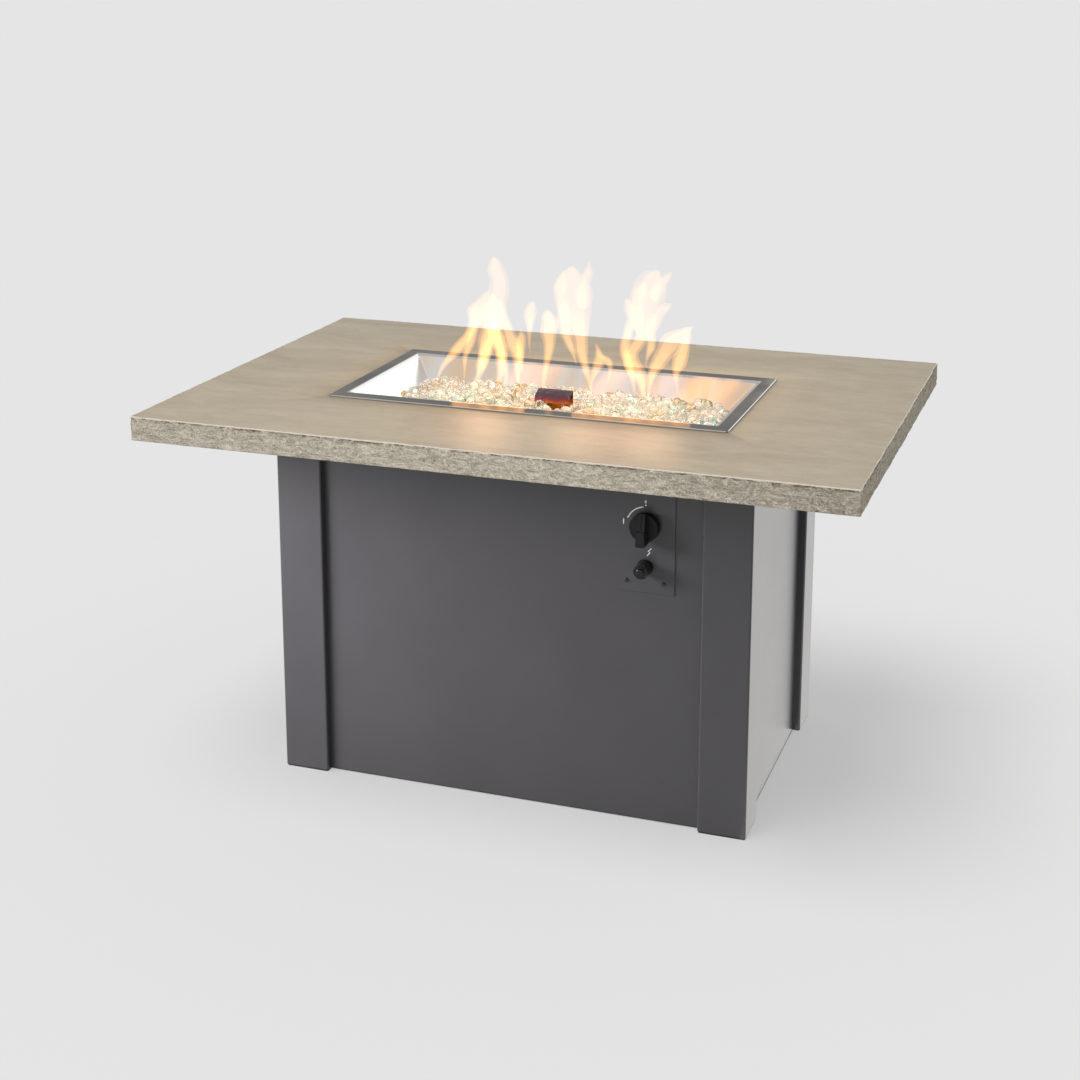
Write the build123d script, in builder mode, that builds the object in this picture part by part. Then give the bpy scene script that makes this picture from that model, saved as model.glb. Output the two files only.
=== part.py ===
from build123d import *
from math import asin, degrees, pi, radians, tan
import os

# Free-standing gas fire table: a cast top with a drop-in gas burner, on a
# sheet-steel base with four box legs, a push-and-turn gas control, a battery
# igniter, a tank shelf and a hinged rear door.
# Frame: +Z up, floor at z = 0, origin under the middle, controls face -Y.
# Every value is in millimetres.

# ---- running and seating clearances ----
RUN_CLEAR = 0.05          # a shaft in its bearing, on the radius
SLIDE_CLEAR = 0.3         # moving faces that pass each other
HOLE_CLEAR = 0.3          # a bolt in a drilled hole, on the radius

# ---- table top ----
TOP_W = 1118.0
TOP_D = 762.0
TOP_T = 38.0
TABLE_H = 610.0
TOP_CORNER_R = 5.0
TOP_ARRIS = 1.5
CUTOUT_W = 618.0
CUTOUT_D = 302.0

# ---- base ----
BASE_W = 765.0
BASE_D = 480.0
LEG = 75.0
LEG_R = 3.0
LEG_WALL = 2.0
GLIDE_T = 3.0
GLIDE_PLUG = 14.0
PANEL_INSET = 12.0
SHEET = 1.5
PANEL_RETURN = 25.0
RAIL = 30.0
RAIL_T = 2.5
SHELF_Z = 42.0
SHELF_GAP = 0.5
TANK_SEAT_R = 105.0
TANK_SEAT_DEPTH = 10.0
TANK_FROM_LEG = 122.5     # tank axis from the left legs' inner sides

# ---- fasteners of the base ----
LEG_BOLT_R = 3.0
LEG_BOLT_HEAD_R = 5.5
LEG_BOLT_HEAD_H = 3.5
LEG_BOLT_IN = 15.0        # from a panel's outer face to the bolt's axis
LEG_BOLT_LOW = 90.0       # lower bolts above the floor
LEG_BOLT_DROP = 102.0     # upper bolts below the top's underside
TOP_BOLT_R = 3.0
TOP_BOLT_HEAD_R = 6.0
TOP_BOLT_HEAD_H = 4.0
TOP_BOLT_LENGTH = 16.0
INSERT_R = 5.0
INSERT_LENGTH = 18.0

# ---- rear door ----
DOOR_STILE = 37.5         # frame left and right of the opening
DOOR_SILL = 62.0          # lower edge of the opening above the floor
DOOR_HEAD = 52.0          # upper edge of the opening below the top's underside
DOOR_GAP = 2.0
DOOR_HEM = 12.0
VENT_W = 6.0
VENT_H = 48.0
VENT_PITCH = 44.0
VENT_COUNT = 6
VENT_FROM_EDGE = 48.0
HINGE_LENGTH = 54.0
HINGE_R = 4.0
HINGE_PIN_R = 2.0
HINGE_LEAF_W = 22.0
HINGE_LEAF_T = 1.5
HINGE_INSET = 70.0
PULL_R = 14.0
PULL_NECK_R = 6.0
PULL_OUT = 24.0
PULL_FROM_EDGE = 34.0
CATCH_W = 22.0            # magnet's reach behind the door
CATCH_FOOT = 8.5          # its foot beside the frame's hem
CATCH_D = 14.0
CATCH_H = 46.0
STRIKE_T = 1.5
STRIKE_W = 25.0

# ---- burner pan ----
PAN_OPEN_W = 603.0
PAN_OPEN_D = 285.0
FLANGE_W = 650.0
FLANGE_D = 340.0
FLANGE_R = 8.0
FLANGE_H = 2.5
PAN_DEPTH = 75.0
PAN_RUN = 66.0            # how far each wall leans in over the depth
PAN_CORNER_R = 6.0
PAN_T = 1.2
GEM_DEPTH = 47.0          # tops of the heaped glass above the pan floor
GEM_DIP = 11.0            # hollows between the heaps
HEAP_FOOT_R = 36.0
HEAP_SINK = 1.0           # how far a heap's foot is sunk into the level bed
DRAIN_R = 3.0
DRAIN_X = 205.0
DRAIN_Y = 66.0

# ---- burner and gas inlet ----
TUBE_R = 9.5
TUBE_WALL = 1.5
TUBE_LIFT = 16.0          # tube axis above the pan floor
BAR_HALF = 200.0
CROSS_HALF = 52.0
PORT_R = 1.5
PORT_PITCH = 40.0
CROSS_PORT_PITCH = 26.0
NIPPLE_R = 10.5
NIPPLE_DROP = 24.0
HUB_R = 13.0
LOCKNUT_AF = 28.0
LOCKNUT_H = 8.0
MIXER_R = 14.0
MIXER_LENGTH = 52.0
MIXER_WALL = 2.5
MIXER_WINDOW_W = 9.0
MIXER_WINDOW_H = 18.0
ELBOW_R = 8.0
ELBOW_DROP = 20.0
ELBOW_OUT = 32.0
LINE_R = 6.0
LINE_BORE = 4.0

# ---- igniter hood, electrode and thermocouple ----
HOOD_X0 = -40.0
HOOD_X1 = 19.0
HOOD_BACK_Y = 27.5
HOOD_TOP_BELOW = 10.0     # ridge below the table surface
HOOD_RUN = 19.0
HOOD_FALL = 7.0
HOOD_FACE_H = 10.0
HOOD_T = 1.2
BRACKET_T = 1.5
BRACKET_LIFT = 33.0       # bracket shelf above the pan floor
ELECTRODE_X = -25.0
PROBE_X = 5.0
SENSOR_Y = 18.5
CERAMIC_R = 3.5
ROD_R = 1.25
PROBE_R = 2.5
PROBE_TIP_R = 3.2
SENSOR_BELOW = 4.0        # ends of the two sensors under the pan

# ---- controls ----
CONTROL_FROM_LEG = 89.5   # controls' axis from the right legs' inner sides
PLATE_W = 90.6
PLATE_H = 184.0
PLATE_DROP = 18.0         # plate's upper edge below the top's underside
PLATE_T = 1.5
PLATE_R = 3.0
PLATE_SCREW_SPAN_X = 57.3
PLATE_SCREW_IN_Z = 16.7
PLATE_SCREW_R = 1.5
PLATE_SCREW_HEAD_R = 3.2
PLATE_SCREW_HEAD_H = 1.9
CONTROL_CUT_W = 44.0
KNOB_DROP = 80.0          # knob's axis below the plate's upper edge
KNOB_R = 22.5
KNOB_SKIRT_H = 9.0
KNOB_BAR_L = 50.0
KNOB_BAR_W = 16.0
KNOB_TIP_W = 11.0
KNOB_BAR_H = 18.0
KNOB_STEP = 2.5           # from the grip's crest down to the pointer's start
KNOB_TIP_H = 7.0
KNOB_GROOVE = 1.5
KNOB_GAP = 3.5
KNOB_TRAVEL = 3.0
STEM_R = 4.0
STEM_FLAT = 1.2
TANG_T = 4.0
TANG_W = 6.6
VALVE_HALF = 18.0
VALVE_LENGTH = 52.0
PLUG_START = 14.0         # from the valve's face to the plug chamber
PLUG_LENGTH = 26.0
PLUG_R0 = 10.0
PLUG_R1 = 8.6
PLUG_SLOT = 13.0
GAS_BORE = 3.0
FLARE_R = 7.9
FLARE_LENGTH = 14.0
FLARE_NECK = 8.0
OUTLET_R = 8.0
OUTLET_LENGTH = 14.0
TC_NUT_R = 4.5
TC_NUT_LENGTH = 12.0
TC_PORT_X = -12.0         # thermocouple port from the valve's axis
TC_PORT_Z = 12.0

# ---- igniter ----
IGNITER_DROP = 64.0       # igniter's axis below the knob's
BARREL_R = 9.0
BARREL_BORE = 7.6
BARREL_BACK = 58.0
BARREL_END = 6.0
BARREL_FLANGE_R = 12.3
BARREL_FLANGE_T = 2.0
BARREL_NOSE = 6.5
IGNITER_NUT_AF = 24.0
IGNITER_NUT_H = 5.0
BATTERY_R = 7.2
BATTERY_LENGTH = 50.0
CAP_R = 11.0
CAP_LENGTH = 24.0
CAP_STEP = 1.6            # shoulder round the cap's front
CAP_ROOF = 3.0
CAP_CHAMBER_R = 8.0
BUTTON_R = 6.5
BUTTON_FLANGE_R = 7.5
BUTTON_FLANGE_T = 1.5
BUTTON_PROUD = 3.4
CONTACT_T = 2.0
LEAD_R = 1.6

os.makedirs("parts", exist_ok=True)

# ---- levels and planes that several pieces share ----
top_under = TABLE_H - TOP_T
flange_top = TABLE_H + FLANGE_H
pan_floor = flange_top - PAN_DEPTH
pan_under = pan_floor - PAN_T
leg_mid_x = (BASE_W - LEG) / 2
leg_mid_y = (BASE_D - LEG) / 2
front_len = BASE_W - 2 * LEG
side_len = BASE_D - 2 * LEG
front_y = -BASE_D / 2 + PANEL_INSET
rear_y = -front_y
side_x = BASE_W / 2 - PANEL_INSET
leg_bolt_zs = (LEG_BOLT_LOW, top_under - LEG_BOLT_DROP)
tank_x = TANK_FROM_LEG - front_len / 2
door_open_w = front_len - 2 * DOOR_STILE
door_open_z0 = DOOR_SILL
door_open_z1 = top_under - DOOR_HEAD
tube_z = pan_floor + TUBE_LIFT
plate_front = front_y - PLATE_T
plate_z1 = top_under - PLATE_DROP
plate_z0 = plate_z1 - PLATE_H
control_x = front_len / 2 - CONTROL_FROM_LEG
knob_z = plate_z1 - KNOB_DROP
igniter_z = knob_z - IGNITER_DROP

# Each wall has a plane across its length: local x runs inward from the outer
# face, local y runs up, and the normal runs along the wall.
front_wall = Plane(origin=(0, front_y, 0), x_dir=(0, 1, 0), z_dir=(1, 0, 0))
rear_wall = Plane(origin=(0, rear_y, 0), x_dir=(0, -1, 0), z_dir=(-1, 0, 0))
left_wall = Plane(origin=(-side_x, 0, 0), x_dir=(1, 0, 0), z_dir=(0, -1, 0))
right_wall = Plane(origin=(side_x, 0, 0), x_dir=(-1, 0, 0), z_dir=(0, 1, 0))
walls = {
    "front": (front_wall, front_len),
    "rear": (rear_wall, front_len),
    "left": (left_wall, side_len),
    "right": (right_wall, side_len),
}

# Bolts that hold the top: two through each rail, off the wall by half a rail.
top_bolt_in = SHEET + RAIL * 0.55
top_bolt_spots = []
for wall, length in walls.values():
    for share in (-0.36, 0.36):
        spot = wall.from_local_coords((top_bolt_in, 0, share * length))
        top_bolt_spots.append((spot.X, spot.Y))


def leg_bolt_holes(wall, radius):
    """Circles on a wall's plane where its bolts run out into the legs."""
    with BuildSketch(wall) as holes:
        with Locations(*[(LEG_BOLT_IN, z) for z in leg_bolt_zs]):
            Circle(radius)
    return holes.sketch


def make_panel(wall, length):
    """Folded wall panel: an outer skin with a bottom and two side returns."""
    with BuildPart() as panel:
        with BuildSketch(wall):
            with Locations((PANEL_RETURN / 2, (GLIDE_T + top_under) / 2)):
                Rectangle(PANEL_RETURN, top_under - GLIDE_T)
        extrude(amount=length / 2, both=True)
        with BuildSketch(wall):
            with Locations((SHEET, GLIDE_T + SHEET)):
                Rectangle(PANEL_RETURN, top_under, align=(Align.MIN, Align.MIN))
        extrude(amount=length / 2 - SHEET, both=True, mode=Mode.SUBTRACT)
        holes = leg_bolt_holes(wall, LEG_BOLT_R + HOLE_CLEAR)
        extrude(holes, amount=length, both=True, mode=Mode.SUBTRACT)
    return panel


def make_rail(wall, length):
    """Angle rail under the top, inside the panel and between its returns."""
    with BuildPart() as rail:
        with BuildSketch(wall):
            with Locations((SHEET, top_under)):
                Rectangle(RAIL, RAIL, align=(Align.MIN, Align.MAX))
            with Locations((SHEET + RAIL_T, top_under - RAIL_T)):
                Rectangle(RAIL, RAIL, align=(Align.MIN, Align.MAX), mode=Mode.SUBTRACT)
        extrude(amount=length / 2 - SHEET, both=True)
        with BuildSketch(Plane.XY.offset(top_under)):
            with Locations(*top_bolt_spots):
                Circle(TOP_BOLT_R + HOLE_CLEAR)
        extrude(amount=-2 * RAIL_T, mode=Mode.SUBTRACT)
    return rail


# ================= top =================
# Cast slab with the burner cut-out and blind holes for the threaded inserts.
with BuildPart() as table_top:
    with BuildSketch(Plane.XY.offset(top_under)):
        RectangleRounded(TOP_W, TOP_D, TOP_CORNER_R)
    extrude(amount=TOP_T)
    rim = table_top.edges().group_by(Axis.Z)[-1] + table_top.edges().group_by(Axis.Z)[0]
    chamfer(rim, TOP_ARRIS)
    with BuildSketch(Plane.XY.offset(top_under)):
        RectangleRounded(CUTOUT_W, CUTOUT_D, PAN_CORNER_R)
    extrude(amount=TOP_T, mode=Mode.SUBTRACT)
    with BuildSketch(Plane.XY.offset(top_under)):
        with Locations(*top_bolt_spots):
            Circle(INSERT_R)
    extrude(amount=INSERT_LENGTH, mode=Mode.SUBTRACT)

with BuildPart() as top_inserts:
    with BuildSketch(Plane.XY.offset(top_under)):
        with Locations(*top_bolt_spots):
            Circle(INSERT_R)
            Circle(TOP_BOLT_R + RUN_CLEAR, mode=Mode.SUBTRACT)
    extrude(amount=INSERT_LENGTH)

# Bolts rise through the rails into the inserts.
with BuildPart() as top_bolts:
    with BuildSketch(Plane.XY.offset(top_under - RAIL_T)):
        with Locations(*top_bolt_spots):
            Circle(TOP_BOLT_R)
    extrude(amount=TOP_BOLT_LENGTH)
    with BuildSketch(Plane.XY.offset(top_under - RAIL_T)):
        with Locations(*top_bolt_spots):
            RegularPolygon(TOP_BOLT_HEAD_R, 6)
    extrude(amount=-TOP_BOLT_HEAD_H)

# ================= base =================
# Four box-section legs, open below, each drilled for the two panels it meets.
legs = {}
for x_name, x_sign in (("left", -1), ("right", 1)):
    for y_name, y_sign in (("front", -1), ("rear", 1)):
        with BuildPart() as leg:
            with BuildSketch(Plane.XY.offset(GLIDE_T)):
                with Locations((x_sign * leg_mid_x, y_sign * leg_mid_y)):
                    RectangleRounded(LEG, LEG, LEG_R)
                    Rectangle(LEG - 2 * LEG_WALL, LEG - 2 * LEG_WALL, mode=Mode.SUBTRACT)
            extrude(amount=top_under - GLIDE_T)
            for wall, length in (walls[x_name], walls[y_name]):
                holes = leg_bolt_holes(wall, LEG_BOLT_R + RUN_CLEAR)
                extrude(holes, amount=length / 2 + 2 * LEG_WALL, both=True, mode=Mode.SUBTRACT)
        legs[f"leg_{y_name}_{x_name}"] = leg

# Moulded glides: a pad under each leg and a plug up inside it.
with BuildPart() as foot_glides:
    with BuildSketch():
        with GridLocations(2 * leg_mid_x, 2 * leg_mid_y, 2, 2):
            RectangleRounded(LEG - 2, LEG - 2, LEG_R)
    extrude(amount=GLIDE_T)
    plug_w = LEG - 2 * (LEG_WALL + HOLE_CLEAR)
    with BuildSketch(Plane.XY.offset(GLIDE_T)):
        with GridLocations(2 * leg_mid_x, 2 * leg_mid_y, 2, 2):
            Rectangle(plug_w, plug_w)
    extrude(amount=GLIDE_PLUG)

# Bolts from inside each panel return into the leg beside it.
with BuildPart() as leg_bolts:
    for wall, length in walls.values():
        for end in (-1, 1):
            head_plane = wall.offset(end * (length / 2 - SHEET))
            with BuildSketch(head_plane):
                with Locations(*[(LEG_BOLT_IN, z) for z in leg_bolt_zs]):
                    Circle(LEG_BOLT_R)
            extrude(amount=end * (SHEET + 3 * LEG_WALL))
            with BuildSketch(head_plane):
                with Locations(*[(LEG_BOLT_IN, z) for z in leg_bolt_zs]):
                    RegularPolygon(LEG_BOLT_HEAD_R, 6)
            extrude(amount=-end * LEG_BOLT_HEAD_H)

front_panel = make_panel(*walls["front"])
left_panel = make_panel(*walls["left"])
right_panel = make_panel(*walls["right"])
rear_frame = make_panel(*walls["rear"])
rails = {f"top_rail_{side}": make_rail(wall, length) for side, (wall, length) in walls.items()}

# The front panel is cut away behind the control plate for the valve and igniter.
cut_z0 = plate_z0 + PLATE_SCREW_IN_Z + 6
cut_z1 = plate_z1 - PLATE_SCREW_IN_Z - 6
screw_spots = [
    (control_x + sx * PLATE_SCREW_SPAN_X / 2, z)
    for sx in (-1, 1)
    for z in (plate_z0 + PLATE_SCREW_IN_Z, plate_z1 - PLATE_SCREW_IN_Z)
]
# A plane that faces the user: local x is world X, local y is world Z.
face = Plane(origin=(0, front_y, 0), x_dir=(1, 0, 0), z_dir=(0, -1, 0))
with BuildPart() as front_panel_cut:
    add(front_panel.part)
    with BuildSketch(face):
        with Locations((control_x, (cut_z0 + cut_z1) / 2)):
            Rectangle(CONTROL_CUT_W, cut_z1 - cut_z0)
        with Locations(*screw_spots):
            Circle(PLATE_SCREW_R + RUN_CLEAR)
    extrude(amount=-2 * SHEET, mode=Mode.SUBTRACT)
front_panel = front_panel_cut

# The rear frame is cut for the door and hemmed inward round the opening.
open_mid_z = (door_open_z0 + door_open_z1) / 2
open_h = door_open_z1 - door_open_z0
back = Plane(origin=(0, rear_y, 0), x_dir=(-1, 0, 0), z_dir=(0, 1, 0))
with BuildPart() as rear_frame_cut:
    add(rear_frame.part)
    with BuildSketch(back):
        with Locations((0, open_mid_z)):
            Rectangle(door_open_w + 2 * SHEET, open_h + 2 * SHEET)
    extrude(amount=-DOOR_HEM)
    with BuildSketch(back):
        with Locations((0, open_mid_z)):
            Rectangle(door_open_w, open_h)
    extrude(amount=-DOOR_HEM, mode=Mode.SUBTRACT)
rear_frame = rear_frame_cut

# Shelf: a tray turned upside down that stands on the panels' bottom returns.
shelf_w = 2 * (side_x - SHEET - SHELF_GAP)
shelf_d = 2 * (rear_y - SHEET - SHELF_GAP)
notch_x = shelf_w / 2 - front_len / 2 + SHEET + SHELF_GAP
notch_y = shelf_d / 2 - side_len / 2 + SHEET + SHELF_GAP
with BuildPart() as bottom_shelf:
    with BuildSketch(Plane.XY.offset(GLIDE_T + SHEET)) as shelf_outline:
        Rectangle(shelf_w, shelf_d)
        with GridLocations(shelf_w, shelf_d, 2, 2):
            Rectangle(2 * notch_x, 2 * notch_y, mode=Mode.SUBTRACT)
    extrude(amount=SHELF_Z - GLIDE_T - SHEET)
    with BuildSketch(Plane.XY.offset(GLIDE_T + SHEET)):
        Rectangle(shelf_w - 2 * SHEET, shelf_d - 2 * SHEET)
        with GridLocations(shelf_w, shelf_d, 2, 2):
            Rectangle(2 * (notch_x + SHEET), 2 * (notch_y + SHEET), mode=Mode.SUBTRACT)
    extrude(amount=SHELF_Z - GLIDE_T - 2 * SHEET, mode=Mode.SUBTRACT)
    with BuildSketch(Plane.XY.offset(SHELF_Z)):
        with Locations((tank_x, 0)):
            Circle(TANK_SEAT_R + SHEET)
    extrude(amount=-TANK_SEAT_DEPTH)
    with BuildSketch(Plane.XY.offset(SHELF_Z)):
        with Locations((tank_x, 0)):
            Circle(TANK_SEAT_R)
    extrude(amount=-TANK_SEAT_DEPTH, mode=Mode.SUBTRACT)

# ================= rear door =================
# The door fills the opening with an even gap. Its hinge side is at -X.
door_w = door_open_w - 2 * DOOR_GAP
door_h = open_h - 2 * DOOR_GAP
door_left = -door_open_w / 2 + DOOR_GAP
door_right = -door_left
vent_span = door_h / 2 - VENT_FROM_EDGE
with BuildPart() as access_door:
    with BuildSketch(back):
        with Locations((0, open_mid_z)):
            Rectangle(door_w, door_h)
    extrude(amount=-DOOR_HEM)
    with BuildSketch(back.offset(-SHEET)):
        with Locations((0, open_mid_z)):
            Rectangle(door_w - 2 * SHEET, door_h - 2 * SHEET)
    extrude(amount=-DOOR_HEM, mode=Mode.SUBTRACT)
    with BuildSketch(back):
        with Locations((0, open_mid_z)):
            with GridLocations(VENT_PITCH, 2 * vent_span, VENT_COUNT, 2):
                SlotOverall(VENT_H, VENT_W, rotation=90)
    extrude(amount=-SHEET, mode=Mode.SUBTRACT)

# Two butt hinges stand on the outer faces, with the pin over the door's gap.
pin_x = -door_open_w / 2 + DOOR_GAP / 2
pin_y = rear_y + HINGE_R + SLIDE_CLEAR
hinge_zs = (door_open_z0 + HINGE_INSET, door_open_z1 - HINGE_INSET)
third = HINGE_LENGTH / 3
leaf_gap = HINGE_R + SLIDE_CLEAR


def make_hinge_half(side, knuckle_offsets):
    """Leaf on one side of the pin, with knuckles at the given offsets."""
    with BuildPart() as half:
        for hinge_z in hinge_zs:
            leaf_mid = pin_x + side * (leaf_gap + HINGE_LEAF_W) / 2
            with BuildSketch(Plane.XY.offset(hinge_z - HINGE_LENGTH / 2)):
                with Locations((pin_x + side * (leaf_gap + HINGE_LEAF_W / 2), rear_y)):
                    Rectangle(HINGE_LEAF_W, HINGE_LEAF_T, align=(Align.CENTER, Align.MIN))
            extrude(amount=HINGE_LENGTH)
            for offset in knuckle_offsets:
                low = hinge_z + offset - third / 2 + SLIDE_CLEAR / 2
                with BuildSketch(Plane.XY.offset(low)):
                    with Locations((pin_x, pin_y)):
                        Circle(HINGE_R)
                    with Locations((leaf_mid, rear_y)):
                        Rectangle(
                            leaf_gap + HINGE_LEAF_W, HINGE_LEAF_T, align=(Align.CENTER, Align.MIN)
                        )
                extrude(amount=third - SLIDE_CLEAR)
            with BuildSketch(Plane.XY.offset(hinge_z - HINGE_LENGTH / 2)):
                with Locations((pin_x, pin_y)):
                    Circle(HINGE_PIN_R)
            extrude(amount=HINGE_LENGTH, mode=Mode.SUBTRACT)
    return half


hinge_frame_leaves = make_hinge_half(-1, (-third, third))
hinge_door_leaves = make_hinge_half(1, (0,))

with BuildPart() as hinge_pins:
    for hinge_z in hinge_zs:
        with BuildSketch(Plane.XY.offset(hinge_z - HINGE_LENGTH / 2)):
            with Locations((pin_x, pin_y)):
                Circle(HINGE_PIN_R - RUN_CLEAR)
        extrude(amount=HINGE_LENGTH)
        with BuildSketch(Plane.XY.offset(hinge_z + HINGE_LENGTH / 2)):
            with Locations((pin_x, pin_y)):
                Circle(HINGE_R - 1)
        extrude(amount=HINGE_PIN_R / 2)

# Turned pull on the free side of the door.
with BuildPart() as door_pull:
    with BuildSketch(Plane(origin=(door_right - PULL_FROM_EDGE, rear_y, open_mid_z),
                           x_dir=(1, 0, 0), z_dir=(0, 0, 1))):
        with BuildLine():
            Polyline(
                (0, 0), (PULL_NECK_R + 2, 0), (PULL_NECK_R, 4), (PULL_NECK_R, PULL_OUT / 2),
                (PULL_R, PULL_OUT - 6), (PULL_R, PULL_OUT - 2), (PULL_R - 3, PULL_OUT), (0, PULL_OUT),
                close=True,
            )
        make_face()
    revolve(axis=Axis((door_right - PULL_FROM_EDGE, rear_y, open_mid_z), (0, 1, 0)))

# Magnet block on the frame's hem, and the steel strike inside the door's edge.
hem_outer_x = door_open_w / 2 + SHEET
hem_inner_y = rear_y - DOOR_HEM
strike_y = hem_inner_y - STRIKE_T
magnet_y = strike_y - SLIDE_CLEAR
with BuildPart() as catch_magnet:
    with BuildSketch(Plane.XY.offset(open_mid_z - CATCH_H / 2)):
        with Locations((hem_outer_x + CATCH_FOOT, magnet_y)):
            Rectangle(
                hem_outer_x + CATCH_FOOT - door_right + CATCH_W, CATCH_D, align=(Align.MAX, Align.MAX)
            )
        with Locations((hem_outer_x, magnet_y)):
            Rectangle(CATCH_FOOT, rear_y - SHEET - magnet_y, align=(Align.MIN, Align.MIN))
    extrude(amount=CATCH_H)

with BuildPart() as catch_strike:
    with BuildSketch(Plane.XY.offset(open_mid_z - CATCH_H / 2 + 3)):
        with Locations((door_right, hem_inner_y)):
            Rectangle(STRIKE_W, STRIKE_T, align=(Align.MAX, Align.MAX))
    extrude(amount=CATCH_H - 6)

# ================= burner =================
# Drop-in pan: a hemmed flange that lies on the top, and four leaning walls.
floor_w = PAN_OPEN_W - 2 * PAN_RUN
floor_d = PAN_OPEN_D - 2 * PAN_RUN
with BuildPart() as burner_pan:
    with BuildSketch(Plane.XY.offset(TABLE_H)):
        RectangleRounded(FLANGE_W, FLANGE_D, FLANGE_R)
    extrude(amount=FLANGE_H)
    fillet(burner_pan.edges().group_by(Axis.Z)[-1], PAN_T)
    with BuildSketch(Plane.XY.offset(TABLE_H)):
        RectangleRounded(FLANGE_W - 2 * PAN_T, FLANGE_D - 2 * PAN_T, FLANGE_R - PAN_T)
    extrude(amount=FLANGE_H - PAN_T, mode=Mode.SUBTRACT)
    with BuildSketch(Plane.XY.offset(flange_top - PAN_T)):
        RectangleRounded(PAN_OPEN_W + 2 * PAN_T, PAN_OPEN_D + 2 * PAN_T, PAN_CORNER_R + PAN_T)
    with BuildSketch(Plane.XY.offset(pan_under)):
        RectangleRounded(floor_w + 2 * PAN_T, floor_d + 2 * PAN_T, PAN_CORNER_R + PAN_T)
    loft()
    with BuildSketch(Plane.XY.offset(flange_top)):
        RectangleRounded(PAN_OPEN_W, PAN_OPEN_D, PAN_CORNER_R)
    with BuildSketch(Plane.XY.offset(pan_floor)):
        RectangleRounded(floor_w, floor_d, PAN_CORNER_R)
    loft(mode=Mode.SUBTRACT)
    with BuildSketch(Plane.XY.offset(pan_floor)):
        Circle(NIPPLE_R + HOLE_CLEAR)
        with Locations((ELECTRODE_X, SENSOR_Y)):
            Circle(CERAMIC_R + HOLE_CLEAR)
        with Locations((PROBE_X, SENSOR_Y)):
            Circle(PROBE_R + HOLE_CLEAR)
        with GridLocations(2 * DRAIN_X, 2 * DRAIN_Y, 2, 2):
            Circle(DRAIN_R)
    extrude(amount=-PAN_T, mode=Mode.SUBTRACT)

# H-shaped burner: one long tube, two cross tubes, a hub and a threaded nipple.
bar_ports = [(i * PORT_PITCH, 0) for i in (-4, -3, -2, 2, 3, 4)]
cross_ports = [(sx * BAR_HALF, j * CROSS_PORT_PITCH) for sx in (-1, 1) for j in (-1.5, -0.5, 0.5, 1.5)]
with BuildPart() as burner_tube:
    with BuildSketch(Plane.YZ.offset(-BAR_HALF)):
        with Locations((0, tube_z)):
            Circle(TUBE_R)
    extrude(amount=2 * BAR_HALF)
    for sx in (-1, 1):
        with BuildSketch(Plane(origin=(sx * BAR_HALF, -CROSS_HALF, tube_z), x_dir=(1, 0, 0),
                               z_dir=(0, 1, 0))):
            Circle(TUBE_R)
        extrude(amount=2 * CROSS_HALF)
    with BuildSketch(Plane.XY.offset(pan_floor)):
        Circle(HUB_R)
    extrude(amount=TUBE_LIFT)
    with BuildSketch(Plane.XY.offset(pan_under - NIPPLE_DROP)):
        Circle(NIPPLE_R)
    extrude(amount=NIPPLE_DROP + PAN_T)
    with BuildSketch(Plane.YZ.offset(-BAR_HALF)):
        with Locations((0, tube_z)):
            Circle(TUBE_R - TUBE_WALL)
    extrude(amount=2 * BAR_HALF, mode=Mode.SUBTRACT)
    for sx in (-1, 1):
        with BuildSketch(Plane(origin=(sx * BAR_HALF, -CROSS_HALF + TUBE_WALL, tube_z),
                               x_dir=(1, 0, 0), z_dir=(0, 1, 0))):
            Circle(TUBE_R - TUBE_WALL)
        extrude(amount=2 * (CROSS_HALF - TUBE_WALL), mode=Mode.SUBTRACT)
    with BuildSketch(Plane.XY.offset(pan_under - NIPPLE_DROP)):
        Circle(NIPPLE_R - 2 * TUBE_WALL)
    extrude(amount=NIPPLE_DROP + PAN_T + TUBE_LIFT, mode=Mode.SUBTRACT)
    with BuildSketch(Plane.XY.offset(tube_z)):
        with Locations(*bar_ports, *cross_ports):
            Circle(PORT_R)
    extrude(amount=2 * TUBE_R, mode=Mode.SUBTRACT)

with BuildPart() as burner_locknut:
    with BuildSketch(Plane.XY.offset(pan_under)):
        RegularPolygon(LOCKNUT_AF / 2, 6, major_radius=False)
        Circle(NIPPLE_R + RUN_CLEAR, mode=Mode.SUBTRACT)
    extrude(amount=-LOCKNUT_H)

# Air mixer: a sleeve on the nipple with two air windows over the gas jet.
mixer_top = pan_under - LOCKNUT_H - 2
mixer_bottom = mixer_top - MIXER_LENGTH
window_z = mixer_bottom + MIXER_WINDOW_H
with BuildPart() as air_mixer:
    with BuildSketch(Plane.XY.offset(mixer_bottom)):
        Circle(MIXER_R)
    extrude(amount=MIXER_LENGTH)
    with BuildSketch(Plane.XY.offset(mixer_bottom + MIXER_WALL)):
        Circle(MIXER_R - MIXER_WALL)
    extrude(amount=MIXER_LENGTH, mode=Mode.SUBTRACT)
    with BuildSketch(Plane.XY.offset(pan_under - NIPPLE_DROP)):
        Circle(MIXER_R)
        Circle(NIPPLE_R + RUN_CLEAR, mode=Mode.SUBTRACT)
    extrude(amount=mixer_top - pan_under + NIPPLE_DROP)
    with BuildSketch(Plane.XZ.offset(-2 * MIXER_R)):
        with Locations((0, window_z)):
            SlotOverall(MIXER_WINDOW_H, MIXER_WINDOW_W, rotation=90)
    extrude(amount=4 * MIXER_R, mode=Mode.SUBTRACT)
    with BuildSketch(Plane.XY.offset(mixer_bottom)):
        Circle(LINE_BORE + 1)
    extrude(amount=MIXER_WALL, mode=Mode.SUBTRACT)

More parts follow.
